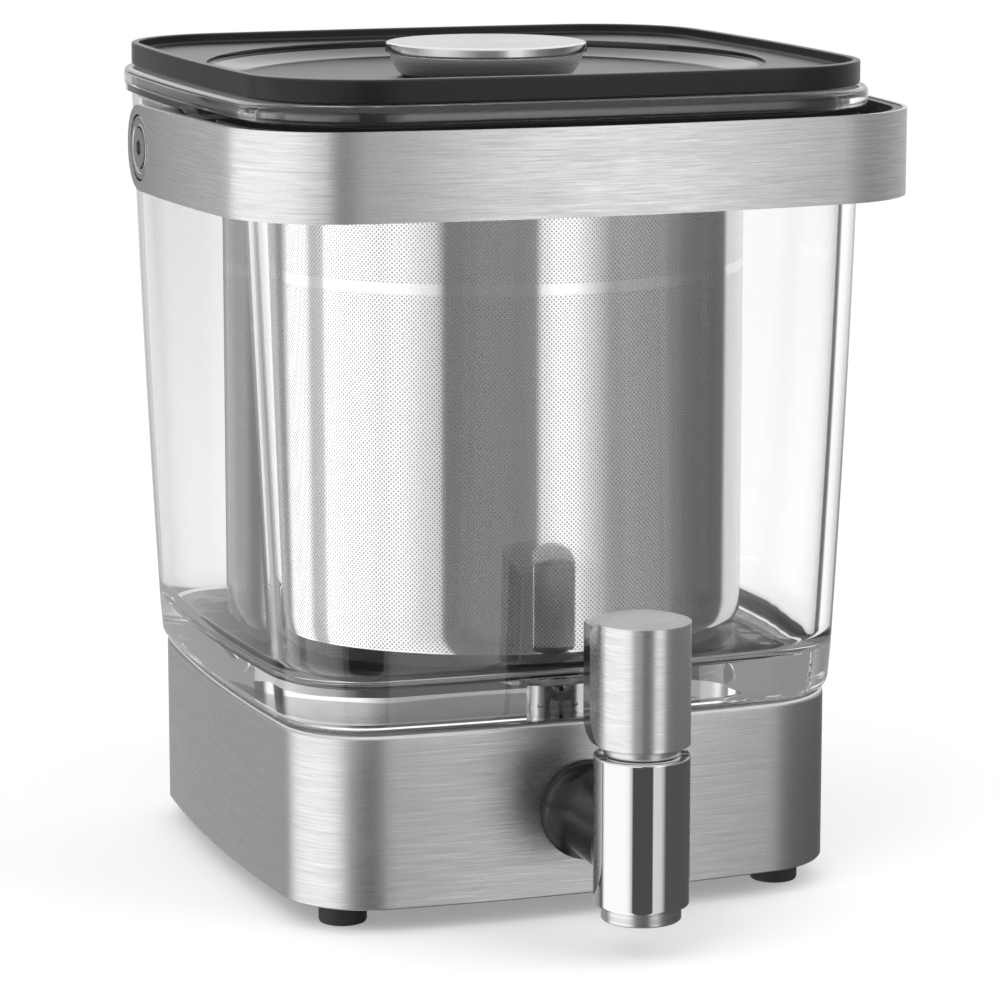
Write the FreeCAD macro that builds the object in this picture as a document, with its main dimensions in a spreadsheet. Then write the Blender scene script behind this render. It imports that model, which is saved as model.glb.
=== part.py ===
import FreeCAD, Part
import math
import os
import re
import Sketcher

# Cold brew coffee maker: a square glass jar on a steel base, with a tap at the front, a perforated
# steeper inside, a lid with a knob, and a carry handle that folds down round the jar's neck.
# Millimetres, +Z up, front towards -Y. The ground is z = 0, and the origin lies under the middle of
# the whole object, so the jar's own axis stands a little behind it.

doc = FreeCAD.newDocument("cold_brew_maker")
sheet = doc.addObject("Spreadsheet::Sheet", "sizes")

DRIVING_SIZES = [
    # Base
    ("skirt_half", 69.9, "half width of the base at the middle of a side"),
    ("skirt_side_radius", 540, "gentle bow of each side"),
    ("skirt_corner_radius", 21.6, "rounding of the corners seen from above"),
    ("skirt_bottom", 5.8, "gap under the skirt"),
    ("skirt_height", 41.5, "from the skirt's edge to the shoulder that carries the jar"),
    ("skirt_sheet", 1.0, "steel sheet of the skirt"),
    ("skirt_lip", 8.0, "width of the shoulder turned inwards"),
    ("tray_wall", 2.0, "wall of the moulded tray inside the skirt"),
    ("tray_deck", 2.5, "deck of the tray"),
    ("cover_sheet", 2.5, "plate that closes the base"),
    ("cover_recess", 1.2, "how far the plate is set up inside the skirt"),
    ("base_gap", 0.2, "gap between nested parts of the base"),
    ("foot_radius", 5.65, "rubber foot"),
    ("foot_inset_x", 15.4, "foot centre in from the side of the skirt"),
    ("foot_inset_y", 16.9, "foot centre in from the front or back of the skirt"),
    ("foot_plug_radius", 2.5, "plug that holds a foot in its hole"),
    ("foot_plug_length", 4.5, "length of that plug"),
    ("boss_inset", 22.5, "screw boss centre in from the skirt"),
    ("boss_radius", 4.0, "screw boss"),
    ("screw_radius", 1.4, "shank of a base screw"),
    ("screw_length", 10.0, "shank length of a base screw"),
    ("screw_head_radius", 2.8, "head of a base screw"),
    ("screw_head", 1.2, "height of that head"),
    # Glass jar
    ("jar_overhang", 1.15, "jar stands out over the skirt"),
    ("jar_foot_side_radius", 560, "side bow at the jar's foot"),
    ("jar_foot_corner_radius", 23.0, "corner at the jar's foot"),
    ("jar_height", 143.8, "from the shoulder to the top of the flange"),
    ("jar_middle_rise", 72.7, "middle section above the shoulder"),
    ("jar_middle_flare", 3.15, "half width gained up to the middle section"),
    ("jar_middle_side_radius", 660, "side bow there"),
    ("jar_middle_corner_radius", 26.0, "corner there"),
    ("jar_neck_flare", 5.15, "half width gained up to the neck"),
    ("jar_neck_side_radius", 771, "side bow there"),
    ("jar_neck_corner_radius", 28.8, "corner there"),
    ("jar_wall", 4.0, "glass wall"),
    ("jar_floor_thickness", 9.7, "heavy glass floor"),
    ("jar_foot_rounding", 3.2, "height of the drawn-in foot edge"),
    ("flange_thickness", 4.3, "flange round the mouth"),
    ("flange_reach", 1.8, "how far the flange stands out from the neck"),
    ("flange_rounding", 1.6, "rounded rim of the flange"),
    # Drain through the jar's floor
    ("drain_back", 38.0, "drain centre in front of the jar's axis"),
    ("drain_stem_radius", 7.0, "threaded stem of the drain fitting"),
    ("drain_bore_radius", 4.5, "bore of the drain and of the tap's shank"),
    ("drain_head_radius", 12.0, "head of the drain fitting"),
    ("drain_well_depth", 3.2, "recess for the head in the jar's floor"),
    ("drain_well_clearance", 2.0, "radial room round the head"),
    ("seal_thickness", 1.0, "silicone washers of the drain"),
    ("hole_clearance", 0.4, "radial room round a stem in its hole"),
    ("thread_clearance", 0.05, "radial room in a threaded or pressed joint"),
    ("drain_nut_height", 4.0, "nut under the deck"),
    ("drain_nut_flats", 24.0, "across flats of that nut"),
    ("elbow_wall", 2.5, "wall of the elbow under the drain"),
    ("elbow_foot", 1.2, "elbow's foot below its level branch"),
    ("elbow_socket", 7.0, "how far stem and shank enter the elbow"),
    # Tap
    ("tap_reach", 33.6, "tap axis in front of the skirt"),
    ("tap_radius", 10.9, "barrel of the tap"),
    ("tap_neck_rise", 20.2, "neck's axis above the skirt's lower edge"),
    ("tap_drop", 13.4, "barrel below the neck's axis"),
    ("tap_rise", 21.2, "barrel above the neck's axis"),
    ("tap_neck_foot_radius", 11.7, "neck where it meets the base"),
    ("tap_neck_radius", 8.8, "neck where it meets the barrel"),
    ("tap_neck_flange", 1.5, "straight flange of the neck against the base"),
    ("tap_neck_taper_gap", 8.0, "taper ends this far behind the barrel"),
    ("tap_edge", 0.5, "edge break of the barrel"),
    ("shank_radius", 6.0, "threaded shank through the base"),
    ("shank_socket", 10.0, "how far the shank enters the neck"),
    ("shank_gasket", 0.8, "gasket between neck and skirt"),
    ("shank_gasket_inset", 0.4, "gasket's edge inside the neck's edge"),
    ("shank_nut_height", 5.0, "nut inside the base"),
    ("shank_nut_flats", 19.0, "across flats of that nut"),
    ("shank_washer", 1.0, "steel washer under that nut"),
    ("shank_washer_radius", 11.4, "outside of that washer"),
    ("shank_washer_relief", 0.15, "room for the bow of the tray's wall behind the washer"),
    ("chamber_radius", 7.5, "valve chamber in the barrel"),
    ("seat_drop", 6.0, "valve seat below the neck's axis"),
    ("seat_radius", 4.5, "hole through the seat"),
    ("nozzle_radius", 9.1, "ring round the outlet"),
    ("nozzle_height", 3.5, "visible height of that ring"),
    ("nozzle_bore_radius", 5.6, "bore of the outlet"),
    ("nozzle_wall", 1.8, "wall of the spigot inside the barrel"),
    ("nozzle_spigot", 5.0, "length of that spigot"),
    ("collar_radius", 8.7, "collar between barrel and lever"),
    ("collar_height", 2.2, "visible height of that collar"),
    ("collar_plug", 8.0, "threaded plug of the collar inside the barrel"),
    # Tap lever and valve
    ("lever_gap", 0.1, "gap between collar and lever"),
    ("lever_side_height", 28.1, "straight side of the lever"),
    ("lever_crown", 1.8, "rise of its domed top"),
    ("lever_shell_back", 5.2, "rear edge of the steel shell behind the tap axis"),
    ("lever_core_back", 9.7, "rear face of the black core behind the tap axis"),
    ("lever_sheet", 1.0, "steel sheet of the lever shell"),
    ("lever_heel_rounding", 7.5, "rounding of the lower rear corner"),
    ("lever_head_rounding", 2.5, "rounding of the upper rear corner"),
    ("lever_pin_rise", 7.5, "lever's pin above its lower edge"),
    ("lever_pin_radius", 1.5, "radius of that pin"),
    ("lever_pin_inset", 0.5, "pin's end below the core's side"),
    ("stem_radius", 2.5, "valve stem"),
    ("stem_over_pin", 3.0, "stem above the pin's axis"),
    ("slot_side", 0.4, "room beside the stem in the core's slot"),
    ("slot_front", 7.6, "room for the stem in front of the pin"),
    ("slot_back", 3.6, "room for the stem behind the pin"),
    ("slot_top", 4.4, "room above the pin"),
    ("running_clearance", 0.08, "radial running fit of pins"),
    ("cup_radius", 6.6, "silicone seat cup"),
    ("cup_height", 9.0, "height of that cup"),
    ("cup_neck", 1.5, "wall of the cup's neck round the stem"),
    # Neck ring and handle pivots
    ("neck_ring_height", 1.4, "steel ring round the neck, right under the flange"),
    ("neck_ring_wall", 1.2, "wall of that ring"),
    ("neck_ring_gap", 0.2, "gap between ring and glass"),
    ("pivot_drop", 10.6, "axis of the carry handle below the flange"),
    ("bracket_gap", 0.35, "gap between a bracket and the handle"),
    ("bracket_arm_drop", 8.0, "bracket's arm below the pivot axis"),
    ("bracket_arm_rise", 3.2, "bracket's arm above the pivot axis"),
    ("pivot_shank_radius", 2.5, "shoulder screw of a pivot"),
    ("pivot_head_radius", 4.65, "head of that screw"),
    ("pivot_head", 1.6, "height of that head"),
    ("pivot_hex_flats", 3.4, "hexagon socket of that screw"),
    ("pivot_bush_radius", 7.65, "disc that turns with the handle"),
    ("bush_reach", 0.3, "disc stands this far out of the liner towards the bracket"),
    ("stop_pin_radius", 2.6, "steel stop pin on a bracket's arm"),
    ("stop_pin_forward", 12.6, "stop pin in front of the pivot axis"),
    ("stop_pin_inset", 0.6, "stop pin's end behind the bracket's face"),
    ("rest_block_front", 31.0, "front of the rubber rest in front of the pivot axis"),
    ("rest_block_length", 10.0, "length of that rest"),
    ("rest_block_height", 15.0, "height of that rest"),
    ("rest_block_inset", 1.2, "rest's face behind the bracket's face"),
    # Carry handle
    ("arm_room", 10.3, "outside of an arm from the neck's glass"),
    ("front_room", 9.7, "outside of the handle's front from the neck's glass"),
    ("band_side_radius", 465, "bow of its arms"),
    ("band_front_radius", 416, "bow of its front"),
    ("band_corner_radius", 28.0, "its corners"),
    ("band_height", 20.2, "height of the band"),
    ("band_sheet", 1.0, "steel skin of the band"),
    ("liner_wall", 2.3, "black liner inside the skin"),
    ("liner_inset", 0.3, "liner edges below the skin's edges"),
    ("arm_end", 10.1, "arms carry on behind the pivot axis"),
    ("arm_end_straight", 0.3, "arm end left straight between its two roundings"),
    # Lid
    ("lid_setback", 1.9, "lid's edge inside the flange's edge"),
    ("lid_side_radius", 771, "its side bow"),
    ("lid_corner_radius", 28.8, "its corners"),
    ("lid_height", 5.9, "rim above the jar's flange"),
    ("lid_rim_wall", 1.8, "upstanding rim"),
    ("lid_rim_depth", 2.5, "rim above the deck of the lid"),
    ("lid_sheet", 2.4, "moulded wall of the lid"),
    ("lid_plug_depth", 9.0, "plug below the flange's top"),
    ("lid_plug_gap", 1.6, "gap between plug and glass"),
    ("dish_margin", 9.1, "round dish in from the lid's edge"),
    ("dish_step", 1.5, "small step at the dish's edge"),
    ("dish_cove", 8.0, "width of the slope down to the dish's floor"),
    ("dish_depth", 10.0, "floor of the dish below the rim"),
    ("lid_gasket_height", 3.0, "silicone ring round the plug"),
    ("lid_gasket_rise", 2.0, "ring above the plug's lower edge"),
    ("soft_gap", 0.45, "gap kept between the soft ring and the glass"),
    ("knob_radius", 24.25, "steel disc of the knob"),
    ("knob_disc", 2.2, "thickness of that disc"),
    ("knob_edge", 0.3, "edge break of that disc"),
    ("knob_rise", 2.0, "top of the knob above the rim"),
    ("knob_bowl_radius", 23.3, "bowl under the disc"),
    ("knob_waist_radius", 19.9, "bowl further down"),
    ("knob_waist_drop", 5.5, "depth of that waist under the disc"),
    ("knob_foot_radius", 16.5, "foot of the bowl"),
    ("knob_bulge", 0.5, "bowl's swell between these radii"),
    ("knob_screw_radius", 1.9, "screw that holds the knob"),
    ("knob_screw_head_radius", 3.6, "its head"),
    ("knob_screw_head", 2.4, "height of its head"),
    ("knob_screw_length", 9.0, "its shank"),
    # Steeper
    ("steeper_room", 5.55, "room between the steeper and the jar's foot inside"),
    ("steeper_sheet", 0.8, "steel sheet of the sleeve and the floor"),
    ("steeper_heel", 5.0, "rounded edge of its pressed floor"),
    ("steeper_drop", 10.1, "rim below the flange's top"),
    ("steeper_rim_height", 3.0, "height of its rim"),
    ("steeper_rim_reach", 1.3, "rim outside the sleeve"),
    ("steeper_rim_edge", 0.6, "edge break of the rim"),
]

# Places and sizes that follow from the driving ones
PLACES = {
    "skirt_top": "skirt_bottom + skirt_height",
    "deck_top": "skirt_top - skirt_sheet",
    "deck_bottom": "deck_top - tray_deck",
    "cover_bottom": "skirt_bottom + cover_recess",
    "cover_top": "cover_bottom + cover_sheet",
    "foot_x": "skirt_half - foot_inset_x",
    "foot_y": "skirt_half - foot_inset_y",
    "boss_place": "skirt_half - boss_inset",
    "jar_foot_half": "skirt_half + jar_overhang",
    "jar_middle_half": "jar_foot_half + jar_middle_flare",
    "jar_neck_half": "jar_foot_half + jar_neck_flare",
    "jar_middle": "skirt_top + jar_middle_rise",
    "jar_floor": "skirt_top + jar_floor_thickness",
    "flange_top": "skirt_top + jar_height",
    "flange_bottom": "flange_top - flange_thickness",
    "flange_half": "jar_neck_half + flange_reach",
    "jar_y": "(skirt_half + tap_reach + tap_radius - flange_half) / 2",
    "tap_row_y": "jar_y - skirt_half - tap_reach",
    "well_floor": "jar_floor - drain_well_depth",
    "drain_nut_top": "deck_bottom - seal_thickness",
    "drain_nut_bottom": "drain_nut_top - drain_nut_height",
    "drain_stem_bottom": "drain_nut_bottom - elbow_socket - base_gap",
    "washer_front": "skirt_half - skirt_sheet - base_gap - tray_wall - shank_washer_relief",
    "nut_back": "washer_front - shank_washer - shank_nut_height",
    "shank_back": "nut_back - elbow_socket - base_gap",
    "tap_neck_height": "skirt_bottom + tap_neck_rise",
    "tap_bottom": "tap_neck_height - tap_drop",
    "tap_top": "tap_neck_height + tap_rise",
    "seat_height": "tap_neck_height - seat_drop",
    "nozzle_bottom": "tap_bottom - nozzle_height",
    "spigot_radius": "nozzle_bore_radius + nozzle_wall",
    "collar_top": "tap_top + collar_height",
    "lever_bottom": "collar_top + lever_gap",
    "lever_shoulder": "lever_bottom + lever_side_height",
    "lever_top": "lever_shoulder + lever_crown",
    "lever_pin_height": "lever_bottom + lever_pin_rise",
    "dome_radius": "(tap_radius ^ 2 + lever_crown ^ 2) / (2 * lever_crown)",
    "ring_bottom": "flange_bottom - neck_ring_height",
    "pivot_height": "flange_bottom - pivot_drop",
    "band_half": "jar_neck_half + arm_room",
    "band_front": "jar_neck_half + front_room",
    "band_bottom": "pivot_height - band_height / 2",
    "liner_inside": "band_half - band_sheet - liner_wall",
    "bush_inside": "liner_inside - bush_reach",
    "bracket_face": "bush_inside - bracket_gap",
    "bracket_back": "jar_neck_half + neck_ring_gap",
    "lid_half": "flange_half - lid_setback",
    "lid_top": "flange_top + lid_height",
    "lid_deck": "lid_top - lid_rim_depth",
    "plug_bottom": "flange_top - lid_plug_depth",
    "dish_radius": "lid_half - dish_margin",
    "dish_floor_radius": "dish_radius - dish_cove",
    "dish_floor": "lid_top - dish_depth",
    "dish_underside": "dish_floor - lid_sheet",
    "knob_top": "lid_top + knob_rise",
    "knob_disc_bottom": "knob_top - knob_disc",
    "knob_waist": "knob_disc_bottom - knob_waist_drop",
    "steeper_radius": "jar_foot_half - jar_wall - steeper_room",
    "steeper_top": "flange_top - steeper_drop",
    "steeper_rim_bottom": "steeper_top - steeper_rim_height",
    "steeper_seam": "jar_floor + steeper_heel",
}
CORNERS = [("front_left", -1, -1), ("front_right", 1, -1), ("back_left", -1, 1), ("back_right", 1, 1)]
SIDES = [("left", -1), ("right", 1)]

for row, (alias, size, note) in enumerate(DRIVING_SIZES, start=1):
    sheet.set("A%d" % row, alias)
    sheet.set("B%d" % row, str(size))
    sheet.setAlias("B%d" % row, alias)
    sheet.set("C%d" % row, note)
doc.recompute()

ALIAS_PATTERN = re.compile(r"\b(%s)\b" % "|".join(alias for alias, size, note in DRIVING_SIZES))
PLACE_PATTERN = re.compile(r"\b(%s)\b" % "|".join(PLACES))


def cells(expression):
    """The expression with places worked out and each driving size written as a cell of the sheet."""
    while PLACE_PATTERN.search(expression):
        expression = PLACE_PATTERN.sub(lambda found: "(%s)" % PLACES[found.group()], expression)
    return ALIAS_PATTERN.sub(r"sizes.\1", expression)


def value(expression):
    """The number that an expression has now."""
    return float(sheet.evalExpression(cells(expression)))


def bind(item, path, expression):
    """Drive one property of an object from the sheet."""
    item.setExpression(path, cells(expression))


# ---------------------------------------------------------------- helpers for bodies and sketches

def new_body(label, y="jar_y", x="0", z="0"):
    body = doc.addObject("PartDesign::Body", label)
    bind(body, "Placement.Base.x", x)
    bind(body, "Placement.Base.y", y)
    bind(body, "Placement.Base.z", z)
    return body


def new_sketch(body, name, role="XY_Plane", offset="0"):
    """A sketch on one of the body's own origin planes, set off along the plane's normal."""
    sketch = body.newObject("Sketcher::SketchObject", name)
    plane = [item for item in body.Origin.OriginFeatures if item.Role == role][0]
    sketch.AttachmentSupport = [(plane, "")]
    sketch.MapMode = "FlatFace"
    bind(sketch, "AttachmentOffset.Base.z", offset)
    return sketch


def add_dimension(sketch, expression, kind, *where):
    index = sketch.addConstraint(Sketcher.Constraint(kind, *where, value(expression)))
    bind(sketch, "Constraints[%d]" % index, expression)


def add_circle(sketch, radius, x="0", y="0"):
    centre = FreeCAD.Vector(value(x), value(y), 0)
    index = sketch.addGeometry(Part.Circle(centre, FreeCAD.Vector(0, 0, 1), value(radius)), False)
    add_dimension(sketch, radius, "Radius", index)
    add_dimension(sketch, x, "DistanceX", -1, 1, index, 3)
    add_dimension(sketch, y, "DistanceY", -1, 1, index, 3)


def add_polygon(sketch, points):
    """A closed outline of straight lines, with every corner held at its two expressions."""
    corners = [FreeCAD.Vector(value(x), value(y), 0) for x, y in points]
    first = sketch.GeometryCount
    count = len(corners)
    for i in range(count):
        sketch.addGeometry(Part.LineSegment(corners[i], corners[(i + 1) % count]), False)
    for i in range(count):
        following = first + (i + 1) % count
        sketch.addConstraint(Sketcher.Constraint("Coincident", first + i, 2, following, 1))
    for i, (x, y) in enumerate(points):
        add_dimension(sketch, x, "DistanceX", -1, 1, first + i, 1)
        add_dimension(sketch, y, "DistanceY", -1, 1, first + i, 1)


def corner_place(outline):
    """Where a bowed square's corner arc has its centre, and the angle at which it meets the side."""
    half, side_radius, corner_radius = [value(item) for item in outline]
    reach = side_radius - half
    inner = side_radius - corner_radius
    centre = (math.sqrt(2 * inner ** 2 - reach ** 2) - reach) / 2
    return centre, math.atan2(centre, centre + reach)


def add_rounded_square(sketch, half, side_radius, corner_radius):
    """Four gently bowed sides joined by four tangent corner arcs, centred on the axes."""
    centre, tangent = corner_place((half, side_radius, corner_radius))
    reach = value(side_radius) - value(half)
    quarter = math.pi / 2
    up = FreeCAD.Vector(0, 0, 1)
    first = sketch.GeometryCount
    for i in range(4):
        turn = FreeCAD.Rotation(up, math.degrees(i * quarter))
        side_circle = Part.Circle(turn * FreeCAD.Vector(-reach, 0, 0), up, value(side_radius))
        corner_circle = Part.Circle(turn * FreeCAD.Vector(centre, centre, 0), up, value(corner_radius))
        start = i * quarter - tangent
        middle = i * quarter + tangent
        finish = (i + 1) * quarter - tangent
        sketch.addGeometry(Part.ArcOfCircle(side_circle, start, middle), False)
        sketch.addGeometry(Part.ArcOfCircle(corner_circle, middle, finish), False)
    for i in range(8):
        following = first + (i + 1) % 8
        sketch.addConstraint(Sketcher.Constraint("Tangent", first + i, 2, following, 1))
    signed_reach = "(%s) - (%s)" % (side_radius, half)
    layout = [("DistanceX", "-", -1), ("DistanceY", "-", -2), ("DistanceX", "", -1), ("DistanceY", "", -2)]
    for i, (kind, sign, axis) in enumerate(layout):
        side = first + 2 * i
        sketch.addConstraint(Sketcher.Constraint("PointOnObject", side, 3, axis))
        add_dimension(sketch, side_radius, "Radius", side)
        add_dimension(sketch, corner_radius, "Radius", side + 1)
        add_dimension(sketch, "%s(%s)" % (sign, signed_reach), kind, -1, 1, side, 3)


def family(prefix, inset="0"):
    """Half width, side bow and corner of one named outline, set in by an even amount."""
    parts = ("half", "side_radius", "corner_radius")
    return tuple("(%s_%s - (%s))" % (prefix, part, inset) for part in parts)


def pad(body, sketch, length, name, midplane=False, reverse=False):
    feature = body.newObject("PartDesign::Pad", name)
    feature.Profile = sketch
    bind(feature, "Length", length)
    feature.Midplane = midplane
    feature.Reversed = reverse
    doc.recompute()
    return feature


def pocket(body, sketch, length, name, midplane=False, reverse=False):
    """Cut a pocket and make sure that it took material away."""
    before = body.Shape.Volume
    feature = body.newObject("PartDesign::Pocket", name)
    feature.Profile = sketch
    bind(feature, "Length", length)
    feature.Midplane = midplane
    feature.Reversed = reverse
    doc.recompute()
    if not body.Shape.Volume < before:
        raise RuntimeError("%s of %s cuts nothing" % (name, body.Name))
    return feature


def pad_square(body, outline, bottom, height, name):
    sketch = new_sketch(body, name + "_outline", offset=bottom)
    add_rounded_square(sketch, *outline)
    return pad(body, sketch, height, name)


def pocket_square(body, outline, bottom, height, name):
    sketch = new_sketch(body, name + "_outline", offset=bottom)
    add_rounded_square(sketch, *outline)
    return pocket(body, sketch, height, name, reverse=True)


def pocket_round(body, radius, bottom, height, name, x="0", y="0"):
    sketch = new_sketch(body, name + "_circle", offset=bottom)
    add_circle(sketch, radius, x, y)
    return pocket(body, sketch, height, name, reverse=True)


def pocket_forward(body, radius, height, length, name):
    """A round hole from the body's axis towards the front."""
    sketch = new_sketch(body, name + "_circle", "XZ_Plane")
    add_circle(sketch, radius, "0", height)
    return pocket(body, sketch, length, name, reverse=True)


def turned(body, points, name, cut=False):
    """A turned shape about the body's upright axis; the points are radius and height."""
    sketch = new_sketch(body, name + "_profile", "XZ_Plane")
    add_polygon(sketch, points)
    kind = "PartDesign::Groove" if cut else "PartDesign::Revolution"
    feature = body.newObject(kind, name)
    feature.Profile = sketch
    feature.ReferenceAxis = (sketch, ["V_Axis"])
    feature.Angle = 360
    doc.recompute()
    return feature


def loft(body, sections, name, cut=False):
    """A smooth loft through rounded squares; each section is an outline and its height."""
    sketches = []
    for i, (outline, height) in enumerate(sections):
        sketch = new_sketch(body, "%s_section_%d" % (name, i), offset=height)
        add_rounded_square(sketch, *outline)
        sketches.append(sketch)
    doc.recompute()
    kind = "PartDesign::SubtractiveLoft" if cut else "PartDesign::AdditiveLoft"
    feature = body.newObject(kind, name)
    feature.Profile = sketches[0]
    feature.Sections = sketches[1:]
    doc.recompute()
    return feature


def outline_edges(body, outline, height):
    """Names of the eight edges that one bowed square has at one height of the body."""
    centre, tangent = corner_place(outline)
    meeting = centre + value(outline[2]) * math.cos(tangent)
    names = []
    for i, edge in enumerate(body.Tip.Shape.Edges, start=1):
        ends = edge.Vertexes
        level = all(abs(end.Z - value(height)) < 0.01 for end in ends)
        if level and all(abs(max(abs(end.X), abs(end.Y)) - meeting) < 0.02 for end in ends):
            names.append("Edge%d" % i)
    if len(names) != 8:
        raise RuntimeError("%s has %d outline edges at %s" % (body.Name, len(names), height))
    return names


def fillet(body, base, edge_names, radius, name):
    feature = body.newObject("PartDesign::Fillet", name)
    feature.Base = (base, edge_names)
    bind(feature, "Radius", radius)
    doc.recompute()
    return feature


# ---------------------------------------------------------------- helpers for primitives

AXES = {
    "up": FreeCAD.Rotation(),
    "right": FreeCAD.Rotation(FreeCAD.Vector(0, 1, 0), 90),
    "forward": FreeCAD.Rotation(FreeCAD.Vector(1, 0, 0), 90),
}


def place(item, x="0", y="0", z="0"):
    bind(item, "Placement.Base.x", x)
    bind(item, "Placement.Base.y", y)
    bind(item, "Placement.Base.z", z)
    return item


def cylinder(name, radius, height, x="0", y="0", z="0", axis="up"):
    item = doc.addObject("Part::Cylinder", name)
    item.Placement = FreeCAD.Placement(FreeCAD.Vector(), AXES[axis])
    bind(item, "Radius", radius)
    bind(item, "Height", height)
    return place(item, x, y, z)


def cone(name, foot_radius, top_radius, height, x="0", y="0", z="0", axis="up"):
    item = doc.addObject("Part::Cone", name)
    item.Placement = FreeCAD.Placement(FreeCAD.Vector(), AXES[axis])
    bind(item, "Radius1", foot_radius)
    bind(item, "Radius2", top_radius)
    bind(item, "Height", height)
    return place(item, x, y, z)


def hexagon(name, flats, height, x="0", y="0", z="0", axis="up"):
    item = doc.addObject("Part::Prism", name)
    item.Placement = FreeCAD.Placement(FreeCAD.Vector(), AXES[axis])
    item.Polygon = 6
    bind(item, "Circumradius", "(%s) / sqrt(3)" % flats)
    bind(item, "Height", height)
    return place(item, x, y, z)


def box(name, length, width, height, x="0", y="0", z="0"):
    item = doc.addObject("Part::Box", name)
    bind(item, "Length", length)
    bind(item, "Width", width)
    bind(item, "Height", height)
    return place(item, x, y, z)


def fuse(name, items):
    result = doc.addObject("Part::MultiFuse", name)
    result.Shapes = items
    return result


def cut(name, base, tools):
    result = doc.addObject("Part::Cut", name)
    result.Base = base
    result.Tool = tools[0] if len(tools) == 1 else fuse(name + "_tools", tools)
    return result


def tube(name, radius, bore, height, x="0", y="0", z="0", axis="up"):
    outside = cylinder(name + "_outside", radius, height, x, y, z, axis)
    inside = cylinder(name + "_bore", bore, height, x, y, z, axis)
    return cut(name, outside, [inside])


# ---------------------------------------------------------------- base

def make_base_skirt():
    """Deep-drawn steel skirt: bowed sides and an inward shoulder that carries the jar."""
    body = new_body("base_skirt")
    pad_square(body, family("skirt"), "skirt_bottom", "skirt_top - skirt_bottom", "wall")
    pocket_square(body, family("skirt", "skirt_sheet"), "skirt_bottom", "deck_top - skirt_bottom", "inside")
    pocket_square(body, family("skirt", "skirt_lip"), "deck_top", "skirt_sheet", "shoulder_opening")
    hole = pocket_forward(body, "shank_radius + hole_clearance", "tap_neck_height", "skirt_half * 1.1",
                          "tap_hole")
    shoulder = outline_edges(body, family("skirt"), "skirt_top")
    fillet(body, hole, shoulder, "skirt_sheet * 0.8", "shoulder_rounding")
    return body


def make_base_tray():
    """Moulded tray inside the skirt: a deck under the jar, a wall, and four screw bosses."""
    body = new_body("base_tray")
    outside = family("skirt", "skirt_sheet + base_gap")
    inside = family("skirt", "skirt_sheet + base_gap + tray_wall")
    pad_square(body, outside, "cover_bottom", "deck_top - cover_bottom", "block")
    pocket_square(body, inside, "cover_bottom", "deck_bottom - cover_bottom", "inside")
    bosses = new_sketch(body, "boss_circles", offset="cover_top")
    for name, x_side, y_side in CORNERS:
        add_circle(bosses, "boss_radius", "%d * boss_place" % x_side, "%d * boss_place" % y_side)
    pad(body, bosses, "deck_top - cover_top", "bosses")
    pilots = new_sketch(body, "pilot_circles", offset="cover_top")
    for name, x_side, y_side in CORNERS:
        radius = "screw_radius + thread_clearance"
        add_circle(pilots, radius, "%d * boss_place" % x_side, "%d * boss_place" % y_side)
    pocket(body, pilots, "screw_length", "pilot_holes", reverse=True)
    pocket_round(body, "drain_stem_radius + hole_clearance", "deck_bottom", "tray_deck", "drain_hole",
                 y="-drain_back")
    pocket_forward(body, "shank_radius + hole_clearance", "tap_neck_height", "skirt_half", "shank_hole")
    return body


def make_base_cover():
    """Plate that closes the base, with holes for the screws and for the plugs of the feet."""
    body = new_body("base_cover")
    outline = family("skirt", "skirt_sheet + 2 * base_gap + tray_wall")
    pad_square(body, outline, "cover_bottom", "cover_sheet", "plate")
    holes = new_sketch(body, "hole_circles", offset="cover_bottom")
    for name, x_side, y_side in CORNERS:
        radius = "screw_radius + hole_clearance"
        add_circle(holes, radius, "%d * boss_place" % x_side, "%d * boss_place" % y_side)
        radius = "foot_plug_radius + thread_clearance"
        add_circle(holes, radius, "%d * foot_x" % x_side, "%d * foot_y" % y_side)
    pocket(body, holes, "cover_sheet", "holes", reverse=True)
    return body


def make_base_screws():
    """Four pan-head screws from below into the bosses of the tray."""
    solids = []
    for name, x_side, y_side in CORNERS:
        x = "%d * boss_place" % x_side
        y = "%d * boss_place" % y_side
        head_bottom = "cover_bottom - screw_head"
        head = cylinder("screw_head_" + name, "screw_head_radius", "screw_head", x, y, head_bottom)
        reach = "cover_sheet + screw_length"
        shank = cylinder("screw_shank_" + name, "screw_radius", reach, x, y, "cover_bottom")
        solids.append(fuse("screw_" + name, [head, shank]))
    screws = doc.addObject("Part::Compound", "base_screws")
    screws.Links = solids
    return place(screws, y="jar_y")


def make_foot(name, x_side, y_side):
    """Rubber foot with a plug pressed up into the base cover."""
    x = "%d * foot_x" % x_side
    y = "jar_y + %d * foot_y" % y_side
    body = new_body("foot_" + name, x=x, y=y)
    top = "cover_bottom + foot_plug_length"
    profile = [
        ("0", "0"),
        ("foot_radius * 0.9", "0"),
        ("foot_radius", "foot_radius * 0.1"),
        ("foot_radius", "cover_bottom"),
        ("foot_plug_radius", "cover_bottom"),
        ("foot_plug_radius", top),
        ("0", top),
    ]
    turned(body, profile, "foot")
    return body


def make_jar_pad():
    """Thin rubber sheet between the tray's deck and the jar's floor, inside the shoulder."""
    body = new_body("jar_pad")
    pad_square(body, family("skirt", "skirt_lip + base_gap"), "deck_top", "skirt_sheet", "sheet")
    pocket_round(body, "drain_stem_radius + hole_clearance", "deck_top", "skirt_sheet", "drain_hole",
                 y="-drain_back")
    return body


# ---------------------------------------------------------------- glass jar

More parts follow.
